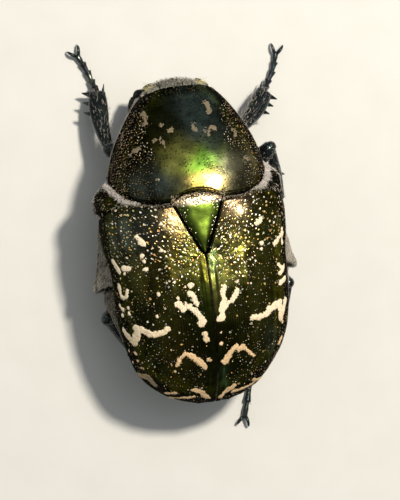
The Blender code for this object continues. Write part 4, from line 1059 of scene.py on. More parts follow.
def pronotum_piece(context):
    """The pronotum: rimmed, pitted at its sides, with a smooth line down its middle."""
    colours = palette(context)
    rows, columns = ((360, 580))
    grid = pronotum_grid(rows, columns)
    normal = grid_normals(grid)
    x, s = grid[..., 0], grid[..., 1]
    arc = run_across(grid)
    out = np.minimum(arc, arc[:, -1:] - arc)
    behind = smooth(PRONOTUM_BASE, np.abs(x) / smooth(PRONOTUM_SIDE, s)) - s
    middle = arc - arc[:, -1:] / 2
    mark = stroke_distance(grid, PRONOTUM_MARKS, pronotum_lift) + 0.02
    mark = mark + lattice_noise(x, s, 0.15, 21) * 0.12
    mark += lattice_noise(x, s, 0.07, 20) * 0.09
    clear = ramp(mark, 0.0, 0.06)
    rim = np.minimum(out, behind * 1.2)
    height = 0.045 * (1 - ramp(rim, 0.05, 0.1)) - 0.05 * bump(rim, 0 * s, (0.16, 0), (0.05, 1))
    height += 0.015 * lattice_noise(x, s, 0.9, 22)
    height -= 0.03 * bump(x, s, (0, 0.5), (1.2, 0.35)) - 0.09 * bump(x, s, (-2.2, 5.4), (1.4, 1.2))
    # Coarse punctures in slanting rows on the sides and the front, fine ones on the rest
    slant = (middle + 0.35 * s) * 1.15 + PATTERN_SHIFT
    coarse, number = pits(slant, s * 0.8, *PRONOTUM_PITS, 23, 0.9)
    fine, fine_number = pits(middle + PATTERN_SHIFT, s, *PRONOTUM_FINE_PITS, 24, 0.85)
    sides = ramp(np.abs(x), 1.6, 2.7) + 0.7 * (1 - ramp(s, 0.2, 0.9))
    sides = np.clip(sides + 0.25 * lattice_noise(x, s, 0.6, 25), 0, 1)
    coarse = coarse + 2.5 * (number > sides * 1.05)
    fine = fine + 3 * (1 - ramp(np.abs(x), 0.05, 0.15)) + 2 * (sides > 0.5)
    number = np.where(coarse < fine, 0.1 + 0.75 * number, fine_number)
    height -= (hollow(coarse, 0.014) + hollow(fine, 0.014)) * clear
    height += 0.03 * (1 - ramp(mark, -0.08, 0.02))
    grid = grid + normal * height[..., None]
    # Painted glints on the punctures' floors, fewer along the front edge and in a dull band on the right and
    # one on the left
    dim = 1 - 0.6 * ramp(-x, 1.2, 1.6) * (1 - ramp(-x, 2.6, 3.2)) * ramp(s, 3.4, 4.2)
    dim = dim * (0.4 + 0.6 * ramp(s, 0.8, 1.3))
    dim = dim * (1 - 0.55 * ramp(x, 1.2, 1.6) * (1 - ramp(x, 3.4, 3.9)) * ramp(s, 3.6, 4.4))
    bright = (0.25 + 0.7 * luck(number) ** 1.4) * ramp(sides, 0.1, 0.5) * (coarse < fine) * clear * dim
    tint = tinted(x, s, "black", PRONOTUM_ZONES, colours, 27)
    # A dark rim, and darker pitted sides: partly their own dark ground and partly painted shade, more on the
    # left, away from the key light
    dark = (1 - 0.8 * (1 - ramp(rim, 0.06, 0.12))) * (1 - sides * np.where(x > 0, 0.7, 0.45))
    tint[..., :3] *= dark[..., None]
    cream = np.tile(np.array(colours["drab"]), (rows, columns, 1))
    values = {"mark": mark, "pit": np.minimum(coarse, fine), "glint": bright, "number": number, "tint": tint,
              "cream": cream}
    grid, values = add_skirt(
        grid, values,
        front=[DOWN * 0.06, DOWN * 0.16 + (0, 0.06, 0), DOWN * 0.25 + (0, 0.3, 0)],
        rear=[DOWN * 0.05, DOWN * 0.16 + (0, -0.02, 0), DOWN * 0.35 + (0, -0.1, 0),
              DOWN * 0.5 + (0, -0.5, 0)],
        first=[DOWN * 0.05, DOWN * 0.1 + (0.08, 0, 0), DOWN * 0.1 + (0.4, 0, 0)],
        last=[DOWN * 0.05, DOWN * 0.1 - (0.08, 0, 0), DOWN * 0.1 - (0.4, 0, 0)],
    )
    faces = grid_faces(*grid.shape[:2])[:, ::-1].tolist()
    fit_to_frame(metal_plate("pronotum", grid, faces, values), "bronze_cuticle", "prothorax")


def prosternum_grid(rows=50, columns=90):
    """The underside of the prothorax, from its left edge to its right."""
    turn = np.linspace(1, -1, columns) * math.pi / 2
    across = np.sign(turn) * np.abs(np.sin(turn)) ** (2 / UNDER_POWER)
    down = np.clip(np.cos(turn), 0, None) ** (2 / UNDER_POWER)
    front, rear = (side + (middle - side) * down for side, middle in (PROSTERNUM_FRONT, PROSTERNUM_REAR))
    s = front + (rear - front) * np.linspace(0, 1, rows)[:, None]
    edge = smooth(PRONOTUM_EDGE, s)
    drop = edge - smooth(PROSTERNUM_KEEL, s)
    return np.stack((across * (smooth(PRONOTUM_SIDE, s) - 0.02), s, edge - drop * down), axis=-1)


def trunk_grid(stations, columns=120, sunk=None):
    """The body under the elytra at each station: its left side, under the keel and up its right side.
    sunk lists how far in each one lies."""
    turn = np.linspace(1, -1, columns) * math.pi / 2
    across = np.sign(turn) * np.abs(np.sin(turn)) ** (2 / UNDER_POWER)
    down = np.clip(np.cos(turn), 0, None) ** (2 / UNDER_POWER)
    s = np.array(stations, float)[:, None]
    lower = np.zeros_like(s) if sunk is None else np.array(sunk, float)[:, None]
    side = np.maximum(smooth(TRUNK_SIDE, s), smooth(ELYTRA_SIDE, s) - SHELL - GAP + 0.1) - lower
    level = smooth(TRUNK_SIDE_HEIGHT, s)
    drop = level - smooth(TRUNK_KEEL, s) - lower
    under = np.stack((across * side, s + 0 * across, level - drop * down), axis=-1)
    top = smooth(ELYTRA_EDGE, s) - 0.1
    wall = []
    for sign, order in ((1, (1.0, 0.6, 0.25)), (-1, (0.25, 0.6, 1.0))):
        for share in order:
            width = side * (1 - share) + (smooth(ELYTRA_SIDE, s) - SHELL) * share
            wall.append(np.stack((sign * width, s, level + (top - level) * share ** 0.8), axis=-1))
    return np.concatenate((*wall[:3], under, *wall[3:]), axis=1)


def hind_notch(grid):
    """How far the hind thorax's rear edge is cut forward beside its pointed outer corner."""
    x, s, z = (grid[..., k] for k in range(3))
    return 0.95 * ramp(s, 9.6, 10.9) * bump(np.abs(x), z, (4.85, 4.2), (0.5, 0.7))


def plate_furrows(grid):
    """0 in the bare furrows between the plates of the hind thorax's side, and 1 off them."""
    s, z = grid[..., 1], grid[..., 2]
    long_one = bump(z - 3.55 - 0.12 * (s - 8.5), 0 * s, (0, 0), (0.05, 1)) * (1 - ramp(s, 9.3, 9.5))
    cross_one = bump(s - 9.5 + 0.25 * (z - 3.8), 0 * s, (0, 0), (0.05, 1))
    return np.clip(1 - 1.6 * np.maximum(long_one, cross_one), 0, 1)


def side_plate_grid(side, rows=100, columns=140):
    """The plate between the pronotum's hind corner and the elytron's shoulder: its face slopes up to its
    rear, and its outer edge carries on the elytron's."""
    s = np.linspace(*SIDE_PLATE_SPAN, rows)[:, None]
    share = np.linspace(0, 1, columns)[None]
    outer = 4.2 + 1.12 * ramp(s, 4.3, 5.8) - 0.4 * ramp(s, 6.35, 6.9)
    crest = 4.7 + 3.25 * ramp(s, 4.2, 6.2)
    # Each row runs over the roof up to the bend, and from there down the side
    over = share <= SIDE_PLATE_BEND
    turn = SIDE_PLATE_START + (math.pi / 2 - SIDE_PLATE_START) * np.clip(share / SIDE_PLATE_BEND, 0, 1)
    fall = math.pi / 2 * np.clip((share - SIDE_PLATE_BEND) / (1 - SIDE_PLATE_BEND), 0, 1)
    foot, drop = SIDE_PLATE_FOOT
    reach = np.where(over, outer * np.sin(turn) ** (2 / TOP_POWER), foot + (outer - foot) * np.cos(fall))
    rise = (crest - SIDE_PLATE_LEVEL) * np.clip(np.cos(turn), 0, None) ** (2 / TOP_POWER)
    height = SIDE_PLATE_LEVEL + np.where(over, rise, -drop * np.sin(fall))
    roof = pronotum_lift(np.minimum(reach, 4.3), s) - 0.1
    behind = s > smooth(PRONOTUM_BASE, reach / PRONOTUM_HALF) - 0.05
    beside = reach > smooth(PRONOTUM_SIDE, s) + 0.02
    height = np.where(behind | beside, height, np.minimum(height, roof))
    return np.stack((side * reach, s + 0 * share, height), axis=-1)


def from_the_pronotum(x, s):
    """How far points lie outside the pronotum's hind outline, in plan, and 0 under it."""
    share = np.linspace(0.4, 1, 60)
    base = smooth(PRONOTUM_BASE, share)
    flank = np.linspace(3.5, 5.0, 30)
    outline = np.r_[np.c_[share * smooth(PRONOTUM_SIDE, base), base],
                    np.c_[smooth(PRONOTUM_SIDE, flank), flank]]
    away = np.hypot(np.abs(x)[..., None] - outline[:, 0], s[..., None] - outline[:, 1]).min(axis=-1)
    before = s < smooth(PRONOTUM_BASE, np.abs(x) / PRONOTUM_HALF)
    inside = (np.abs(x) < smooth(PRONOTUM_SIDE, s)) & before
    return np.where(inside, 0, away)


def head_grid(steps, sides):
    """The head's capsule as rings from its neck down to its front edge, and its outward normals."""
    line = [(0, s, z) for s, z in HEAD_LINE]
    points, _ = tube(line, HEAD_HALVES, up=(0, -1, 0.2), steps=steps, sides=sides, power=2.5, ends=0.1)
    grid = points.reshape(-1, sides, 3)
    closed = np.concatenate((grid[:, -2:], grid, grid[:, :2]), axis=1)
    normal = grid_normals(closed)[:, 2:-2]
    outward = grid - grid.mean(axis=1, keepdims=True)
    return grid, normal * np.sign(np.sum(normal * outward, axis=-1).mean())


def head_piece(context):
    """The head's capsule: densely pitted, with a smooth raised line down its middle."""
    grid, normal = head_grid(*(((200, 260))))
    x, z = grid[..., 0], grid[..., 2]
    around = run_across(grid)
    pit, number = pits(around + PATTERN_SHIFT, z, *HEAD_PITS, 31, 0.95)
    front = ramp(-grid[..., 1], -0.3, 0.1)
    ridge = bump(x, 0 * z, (0, 0), (0.16, 1)) * ramp(z, 1.5, 2.0) * (1 - ramp(z, 3.4, 3.9)) * front
    pit = pit + 3 * ramp(ridge, 0.45, 0.7)
    height = 0.07 * ridge - 0.06 * bump(np.abs(x), z, (0.5, 2.6), (0.22, 0.8)) * front
    height += 0.015 * lattice_noise(around, z, 0.4, 32) - hollow(pit, 0.026)
    grid = grid + normal * height[..., None]
    tint = tinted(x, z, "black", (("bronze", (0, 2.4), (1.2, 1.0), 0.7),), palette(context), 33)
    # Painted glints on the punctures' floors
    values = unmarked(pit, 0.4 * luck(number) ** 2, number, tint)
    piece = metal_plate("head_capsule", grid, closed_faces(*grid.shape[:2]), values)
    fit_to_frame(piece, "black_cuticle", "head")


def even_halves(*halves):
    """The same half width and half thickness at each step of a round limb."""
    return [(half, half) for half in halves]


def head_parts():
    """The head's rim, palps, jaws, neck and the ridges before the eyes."""
    rim = ((0.02, 0.02), (0.1, 0.09), (0.12, 0.11), (0.12, 0.11), (0.12, 0.11), (0.1, 0.09), (0.02, 0.02))
    parts = [ball(*NECK, 48), tube(CLYPEUS_RIM, rim, up=(0, 1, 0), steps=90, sides=14)]
    palp = ((0.12, 0.12), (0.16, 0.16), (0.13, 0.13), (0.2, 0.18), (0.12, 0.12))
    brow = ((0.08, 0.08), (0.12, 0.1), (0.05, 0.05))
    jaw = ((0.2, 0.15), (0.24, 0.15), (0.1, 0.08))
    for side in (1, -1):
        parts.append(tube(mirrored(PALP_LINE, side), palp, steps=20))
        parts.append(tube(mirrored(BROW_LINE, side), brow, up=(0, 1, 0), steps=12, sides=10))
        parts.append(tube(mirrored(JAW_LINE, side), jaw, steps=12, sides=10))
    return parts


def antenna_parts(side):
    """A swollen scape, small round joints and a club of three leaves."""
    line = np.array(mirrored(ANTENNA_LINE, side))
    scape = ((0.1, 0.1), (0.2, 0.18), (0.26, 0.2), (0.12, 0.12))
    parts = [tube(along(line, np.linspace(0, 0.42, 5)), scape, steps=14, sides=14)]
    parts += [ball(along(line, t), (0.15, 0.12, 0.13), 14) for t in np.linspace(0.5, 0.95, 6)]
    halves = ((0.12, 0.05), (0.3, 0.065), (0.33, 0.065), (0.24, 0.06), (0.08, 0.04))
    for place in (-1, 0, 1):
        leaf = [(side * (x + place * 0.16 * (0.4 + 0.2 * i)), y, z) for i, (x, y, z) in enumerate(LEAF_LINE)]
        parts.append(tube(leaf, halves, up=(1, 0, 0), steps=16, sides=16))
    return parts


def spike(root, tip, radius):
    """A tooth or spur that tapers to a blunt tip, as (points, faces)."""
    root, tip = np.array(root, float), np.array(tip, float)
    halves = even_halves(radius, radius * 0.7, radius * 0.16)
    return tube((root, (root + tip) / 2, tip), halves, up=(0.3, 0.2, 1), steps=8, sides=10)


def femur_line(coxa, knee):
    """The femur's line from its coxa to the knee, bowed down a little."""
    root = coxa + COXA_RISE
    return root, (root + knee) / 2 + FEMUR_BOW, knee


def leg_parts(name):
    """Femur, toothed tibia with spurs, five-jointed tarsus and curved claws of one leg."""
    coxa, knee, ankle, toes = (np.array(p, float) for p in LEGS[name])
    pair, word = name.split("_")
    side = 1 if word == "left" else -1
    parts = [tube(femur_line(coxa, knee), FEMUR_HALVES, steps=30, sides=24)]
    parts.append(ball(knee, (0.34, 0.34, 0.3), 18))
    ahead = unit(ankle - knee)
    up = np.array((0 if pair == "front" else side * 0.3, 0, 1.0))
    outward = np.cross(ahead, up)
    outward *= np.sign(outward[0] * side) / np.linalg.norm(outward)
    shin = np.cross(outward, ahead)
    line = (knee, (knee + ankle) / 2 + outward * 0.12, ankle)
    parts.append(tube(line, TIBIA_HALVES[pair], up=up, steps=34, sides=20, power=2.6))
    # A keel down the shin, and the teeth on its outer edge
    keel = [along(line, t) + shin * 0.2 + outward * 0.1 for t in (0.1, 0.4, 0.7, 0.95)]
    parts.append(tube(keel, even_halves(0.05, 0.09, 0.09, 0.05), steps=16, sides=8))
    size = 1.0 if pair == "front" else 0.75
    for share in TIBIA_TEETH[pair]:
        root = along(line, share)
        parts.append(spike(root + outward * 0.15, root + outward * 0.85 * size + ahead * 0.28, 0.2 * size))
    # Two spurs at the ankle, and short spines round it on the middle and hind legs
    for sway in (0.25, -0.25):
        parts.append(spike(ankle - ahead * 0.15 - outward * (0.2 + sway * 0.4),
                           ankle + ahead * 0.55 - outward * (0.3 + sway * 0.8), 0.09))
    if pair != "front":
        for turn in np.linspace(-1.2, 1.2, 7):
            lean = outward * math.sin(turn) + shin * math.cos(turn)
            parts.append(spike(ankle + lean * 0.3, ankle + lean * 0.42 + ahead * 0.26, 0.05))
    return [(np.c_[p[:, :2], np.maximum(p[:, 2], 0.0)], f) for p, f in parts + foot_parts(ankle, toes)]


def foot_parts(ankle, toes):
    """The tarsus, whose joints flare to their ends and have two small spines there, and its claws."""
    parts = []
    path = np.vstack((ankle, toes))
    joints = along(path, np.linspace(0.03, 1, 6))
    for k, (a, b) in enumerate(zip(joints, joints[1:])):
        last = k == 4
        flare = 0.17 if last else 0.23
        halves = ((0.11, 0.11), (0.14, 0.14), (0.17, 0.16), (flare, flare * 0.9))
        parts.append(tube((a, (a + b) / 2, b + (b - a) * 0.06), halves, steps=14, sides=14, ends=0.4))
        cross = unit(np.cross(b - a, (0, 0, 1.0)))
        for way in () if last else (1, -1):
            tip = b + cross * way * 0.24 + (b - a) * 0.22 - (0, 0, 0.06)
            parts.append(spike(b + cross * way * 0.1 - (0, 0, 0.05), tip, 0.035))
    end, before = joints[-1], along(path, 0.96)
    ahead = unit(end - before)
    cross = np.cross(ahead, (0, 0, 1.0))
    for way in (1, -1):
        # Each claw arches up and out, and its point stands on the floor
        claw = (end - ahead * 0.05, end + ahead * 0.22 + cross * way * 0.2 + (0, 0, 0.16),
                end + ahead * 0.48 + cross * way * 0.32 + (0, 0, 0.08),
                np.append((end + ahead * 0.62 + cross * way * 0.36)[:2], 0.03))
        parts.append(tube(claw, ((0.11, 0.1), (0.1, 0.09), (0.07, 0.07), (0.015, 0.015)), steps=18, sides=10))
    return parts


def scutellum_piece(context):
    """The green shield between the wing cases, with a pitted edge and a pale hairy base."""
    colours = palette(context)
    rows, columns = 110, 90
    share = np.linspace(-1, 1, columns)[None]
    s = np.linspace(*SCUTELLUM_SPAN, rows)[:, None]
    x = share * (smooth(SCUTELLUM_SIDE, s) - 0.06)
    s = s + 0 * x
    top = SCUTELLUM_HEIGHT + 0.1 * ramp(s, 5.9, 9.4)
    z = top + 0.04 - 0.1 * np.abs(share) ** 3 - 0.25 * (1 - ramp(s, 5.9, 6.5))
    z = z + 0.008 * lattice_noise(x, s, 0.5, 41)
    coarse, number = pits(x + PATTERN_SHIFT, s, *SCUTELLUM_PITS, 42, 0.95)
    edge = np.maximum(ramp(np.abs(share), 0.5, 1.1) + 0 * s, 1 - ramp(s, 6.5, 6.9))
    coarse = coarse + 3 * (number > edge)
    coarse = np.where(s < 6.8, coarse * 0.8, coarse)
    grid = np.stack((x, s, z - hollow(coarse, 0.03)), axis=-1)
    base = 1 - ramp(s, 6.55, 6.9)
    tint = np.tile(np.array(colours["shield"]), (rows, columns, 1))
    shade = ramp(np.abs(share), 0.1, 1.0) + 0 * s
    tint = tint * (1 - 0.75 * shade[..., None]) + np.array(colours["moss"]) * 0.6 * shade[..., None]
    tint = blended(tint, np.array(colours["drab"]) * 3.2, base)
    tint[..., :3] *= (0.6 + 0.4 * (1 - ramp(s, 7.2, 9.3)))[..., None]
    # Painted glints on the punctures' floors, brightest on the pale base
    grid, values = add_skirt(
        grid, unmarked(coarse, 0.35 + 0.6 * base, number, tint),
        front=[DOWN * 0.3],
        rear=[DOWN * 0.15 + (0, 0.03, 0), DOWN * 0.4],
        first=[DOWN * 0.08 - (0.02, 0, 0), DOWN * 0.4],
        last=[DOWN * 0.08 + (0.02, 0, 0), DOWN * 0.4],
    )
    faces = grid_faces(*grid.shape[:2])[:, ::-1].tolist()
    fit_to_frame(metal_plate("scutellum_shield", grid, faces, values), "green_cuticle", "scutellum")


def prosternum_piece():
    """The underside of the prothorax with its coxae and the membrane round the neck."""
    parts = [sheet(prosternum_grid()), *pair_of_balls(*COXAE["front"]), ball(*FRONT_MEMBRANE, 48)]
    piece = new_piece("prosternum", *merged(parts), "waxed_black_chitin")
    fit_to_frame(piece, "black_cuticle", "prothorax")


def hind_thorax_piece():
    """The furrowed underside and sides of the hind thorax, with its coxae and the knob between them."""
    stations = np.r_[np.linspace(5.9, THORAX_REAR, 90), THORAX_REAR + 0.02]
    grid = trunk_grid(stations, sunk=np.r_[np.zeros(90), 0.6])
    x, s = grid[..., 0], grid[..., 1]
    # A furrow down the middle, one before the hind coxae, and those between the side plates
    sink = 0.06 * bump(x, 0 * s, (0, 0), (0.07, 1)) * ramp(s, 7.2, 7.8) * (1 - ramp(s, 9.6, 10.0))
    sink = sink + 0.05 * bump(0 * x, s - 0.09 * x**2, (0, 9.1), (1, 0.06))
    sink = sink + 0.05 * (1 - plate_furrows(grid)) * ramp(np.abs(x), 3.6, 4.2)
    grid = grid + grid_normals(grid) * (0.01 * lattice_noise(x * 1.5, s, 0.35, 61) - sink)[..., None]
    grid[..., 1] -= hind_notch(grid)
    parts = [sheet(grid), *pair_of_balls(*COXAE["middle"], 32), *pair_of_balls(*COXAE["hind"], 32)]
    parts += [ball(*STERNAL_KNOB, 32), ball(*WAIST_MEMBRANE, 64)]
    piece = new_piece("hind_thorax", *merged(parts), "waxed_black_chitin")
    fit_to_frame(piece, "black_cuticle", "pterothorax")


def belly_piece():
    """The belly's plates, each sunk at its front under the one before, and the hind coxae's faces."""
    stations, sunk = [], []
    for front, rear in zip(VENTRITES, VENTRITES[1:]):
        for share in np.linspace(0, 1, 14):
            stations.append(front + (rear - front) * share - (0.02 if share == 1 else 0))
            sunk.append(0.12 * (1 - ramp(share, 0.0, 0.3)) - 0.02 * ramp(share, 0.85, 1.0))
    grid = trunk_grid([10.9, *stations, 16.9], sunk=[0.2, *sunk, 0.35])
    x, s = grid[..., 0], grid[..., 1]
    grid = grid + grid_normals(grid) * (0.008 * lattice_noise(x * 2, s, 0.25, 62))[..., None]
    piece = new_piece("belly", *merged([sheet(grid), *pair_of_balls(*COXA_FACE, 32)]), "bronzed_belly_chitin")
    fit_to_frame(piece, "bronze_cuticle", "abdomen")


def tail_plate_piece():
    """The pygidium: a pitted dome, closed at its middle, with a shallow furrow down it."""
    columns = 120
    angle = np.linspace(0, math.pi / 2 * 0.99, 60)[:, None]
    turn = np.linspace(0, 2 * math.pi, columns, endpoint=False)[None]
    wide, tall = (h * np.cos(angle) for h in PYGIDIUM_HALF)
    rear = PYGIDIUM_ROOT - 0.5 + (PYGIDIUM_BULGE + 0.5) * np.sin(angle) + 0 * turn
    grid = np.stack((wide * np.cos(turn), rear, PYGIDIUM_HEIGHT + tall * np.sin(turn)), axis=-1)
    x, z = grid[..., 0], grid[..., 2]
    pit, _ = pits(x + PATTERN_SHIFT, z, *TAIL_PITS, 63)
    grid[..., 1] -= hollow(pit, 0.02) + 0.05 * bump(x, z, (0, 4.0), (0.12, 0.8))
    faces = grid_faces(*grid.shape[:2], wrap=True).tolist()
    end = grid.size // 3
    faces.append(list(range(end - columns, end)))
    piece = new_piece("tail_plate", grid.reshape(-1, 3), faces, "bronzed_belly_chitin")
    fit_to_frame(piece, "bronze_cuticle", "pygidium")


def side_plate_piece(context, word, side):
    """The pitted plate between the pronotum's hind corner and the elytron's shoulder."""
    grid = side_plate_grid(side)
    arc, s = run_across(grid), grid[..., 1]
    pit, number = pits(arc + PATTERN_SHIFT, s, *SIDE_PLATE_PITS, 51 + side)
    height = 0.02 * lattice_noise(arc, s, 0.4, 52) - hollow(pit, 0.02)
    grid = grid + grid_normals(grid) * side * height[..., None]
    tint = tinted(arc, s, "black", (), palette(context), 53)
    # Painted glints on the punctures' floors
    values = unmarked(pit, 0.55 * luck(number) ** 2, number, tint)
    faces = grid_faces(*grid.shape[:2])[:, ::side].tolist()
    piece = metal_plate("side_plate_" + word, grid, faces, values)
    fit_to_frame(piece, "bronze_cuticle", "mesepimeron_" + word)


class ChaferSizes(bpy.types.PropertyGroup):
    """Sizes of the fine relief and of the hair"""

    pit_spacing: bpy.props.FloatProperty(
        name="Puncture spacing", description="Distance between the elytra's punctures",
        default=0.28 * MM, unit="LENGTH", precision=6)
    pit_width: bpy.props.FloatProperty(
        name="Puncture width", description="Width of a large puncture",
        default=0.14 * MM, unit="LENGTH", precision=6)
    hair_width: bpy.props.FloatProperty(
        name="Hair width", description="Half a hair's thickness at its root, thick enough to show",
        default=0.012 * MM, unit="LENGTH", precision=6)
    side_hair: bpy.props.FloatProperty(
        name="Side hair length", description="Length of the dense pale hair on the side plates",
        default=0.19 * MM, unit="LENGTH", precision=6)
    under_hair: bpy.props.FloatProperty(
        name="Underside hair length", description="Length of the long hair on the thorax's underside",
        default=0.38 * MM, unit="LENGTH", precision=6)


def colour_property(label, text, words):
    """A colour that the user can change."""
    return bpy.props.FloatVectorProperty(name=label, description=words, subtype="COLOR", size=4,
                                         default=hex_colour(text), min=0, max=1)


class ChaferColours(bpy.types.PropertyGroup):
    """Colours of the metal, some of them painted highlight, glow, sheen and shade, and of the marks"""

    # The ground colour, also painted as shade beside the scutellum's tip
    black: colour_property("Black bronze", "#262A11", "Ground colour of the plates")
    bronze: colour_property("Bronze", "#4A4216", "The front of the elytra and the pronotum's rear")
    # Partly the metal's own olive and partly painted glow
    olive: colour_property("Olive", "#525420", "Olive gleam beside the midline")
    # Painted sheen beside the pronotum's highlight
    painted_sheen_fawn: colour_property("Fawn", "#9C9A78", "Greyish sheen right of the pronotum's highlight")
    # Pale olive, partly the metal's own colour and partly painted glow
    pale_olive_and_painted_glow: colour_property("Reed", "#8A8A46", "Pale olive glow left of the pronotum's highlight")
    # Painted highlight
    painted_highlight_brass: colour_property("Brass", "#6C5A4A", "Brightest metal, at the elytra's base")
    # Painted highlight
    gold: colour_property("Gold", "#948048", "Highlight of the pronotum's rear")
    # Mostly the metal's own blue black, and a painted sheen at the right elytron's rear
    slate: colour_property("Slate", "#566662", "Blue-black of the pronotum's front")
    # Partly the metal's own green and partly painted glow round the pronotum's highlight
    leaf: colour_property("Leaf green", "#527A26", "Green of the pronotum's rear and the scutellum")
    moss: colour_property("Moss", "#40521A", "Dark green of the elytra's disc")
    # Partly the suture's own blue green and partly a painted sheen at its end
    teal: colour_property("Teal", "#5A7A58", "Blue green of the suture's ridge")
    shield: colour_property("Shield green", "#4C5E20", "Green of the scutellum")
    cream: colour_property("Cream", "#F2E4C8", "Marks on the elytra")
    tan: colour_property("Tan", "#DDBB8C", "Marks at the elytra's rear")
    drab: colour_property("Drab", "#766C5A", "Marks on the pronotum")


class CHAFER_OT_materials(bpy.types.Operator):
    """Makes the finishes that the pieces share"""

    bl_idname = "chafer.materials"
    bl_label = "Finishes"

    def execute(self, context):
        chitin_metal("polished_metal_chitin")
        bare_chitin("waxed_black_chitin", "#0B0B08", "#20261A", 0.3)
        bare_chitin("filmed_leg_chitin", "#0B0C0A", "#1A2220", 0.24, coat=0.6, film=(195, 265))
        bare_chitin("bronzed_belly_chitin", "#14110A", "#3A3218", 0.34, coat=0.2)
        compound_eye("faceted_cornea")
        insect_hair("silver_bristle", "#8A7E6C", "#E4DCCB")
        insect_hair("grey_bristle", "#4E4C42", "#C2BEAC")
        insect_hair("white_bristle", "#988E88", "#F2ECE6")
        insect_hair("golden_bristle", "#D8B888", "#FFF0D4")
        insect_hair("yellow_bristle", "#7A7040", "#ECE2A6")
        return {"FINISHED"}


class CHAFER_OT_pronotum(bpy.types.Operator):
    """Adds the pronotum and the underside of the prothorax"""

    bl_idname = "chafer.pronotum"
    bl_label = "Prothorax"

    def execute(self, context):
        pronotum_piece(context)
        prosternum_piece()
        return {"FINISHED"}


class CHAFER_OT_elytra(bpy.types.Operator):
    """Adds both wing cases"""

    bl_idname = "chafer.elytra"
    bl_label = "Elytra"

    def execute(self, context):
        elytron_piece(context, "left", 1, LEFT_MARKS, LEFT_ZONES, 101)
        elytron_piece(context, "right", -1, RIGHT_MARKS, RIGHT_ZONES, 202)
        return {"FINISHED"}


class CHAFER_OT_scutellum(bpy.types.Operator):
    """Adds the shield between the wing cases"""

    bl_idname = "chafer.scutellum"
    bl_label = "Scutellum"

    def execute(self, context):
        scutellum_piece(context)
        return {"FINISHED"}


class CHAFER_OT_trunk(bpy.types.Operator):
    """Adds the side plates, the hind thorax, the belly and the last plate"""

    bl_idname = "chafer.trunk"
    bl_label = "Trunk"

    def execute(self, context):
        hind_thorax_piece()
        belly_piece()
        tail_plate_piece()
        for word, side in SIDES:
            side_plate_piece(context, word, side)
        return {"FINISHED"}


class CHAFER_OT_head(bpy.types.Operator):
    """Adds the head with its mouthparts, eyes and antennae"""

    bl_idname = "chafer.head"
    bl_label = "Head"

    def execute(self, context):
        head_piece(context)
        piece = new_piece("mouthparts", *merged(head_parts()), "waxed_black_chitin")
        fit_to_frame(piece, "black_cuticle", "head")
        (x, s, z), radii = EYE
        for word, side in SIDES:
            piece = new_piece("compound_eye_" + word, *ball((side * x, s, z), radii, 64), "faceted_cornea")
            fit_to_frame(piece, "eye_facets", "eye_" + word)
            piece = new_piece("feeler_" + word, *merged(antenna_parts(side)), "waxed_black_chitin")
            fit_to_frame(piece, "black_cuticle", "antenna_" + word)
        return {"FINISHED"}


class CHAFER_OT_legs(bpy.types.Operator):
    """Adds the six legs"""

    bl_idname = "chafer.legs"
    bl_label = "Legs"

    def execute(self, context):
        for name in LEGS:
            piece = new_piece("leg_" + name, *merged(leg_parts(name)), "filmed_leg_chitin")
            fit_to_frame(piece, "black_cuticle", "femur_" + name, "tibia_" + name, "tarsus_" + name)
        return {"FINISHED"}


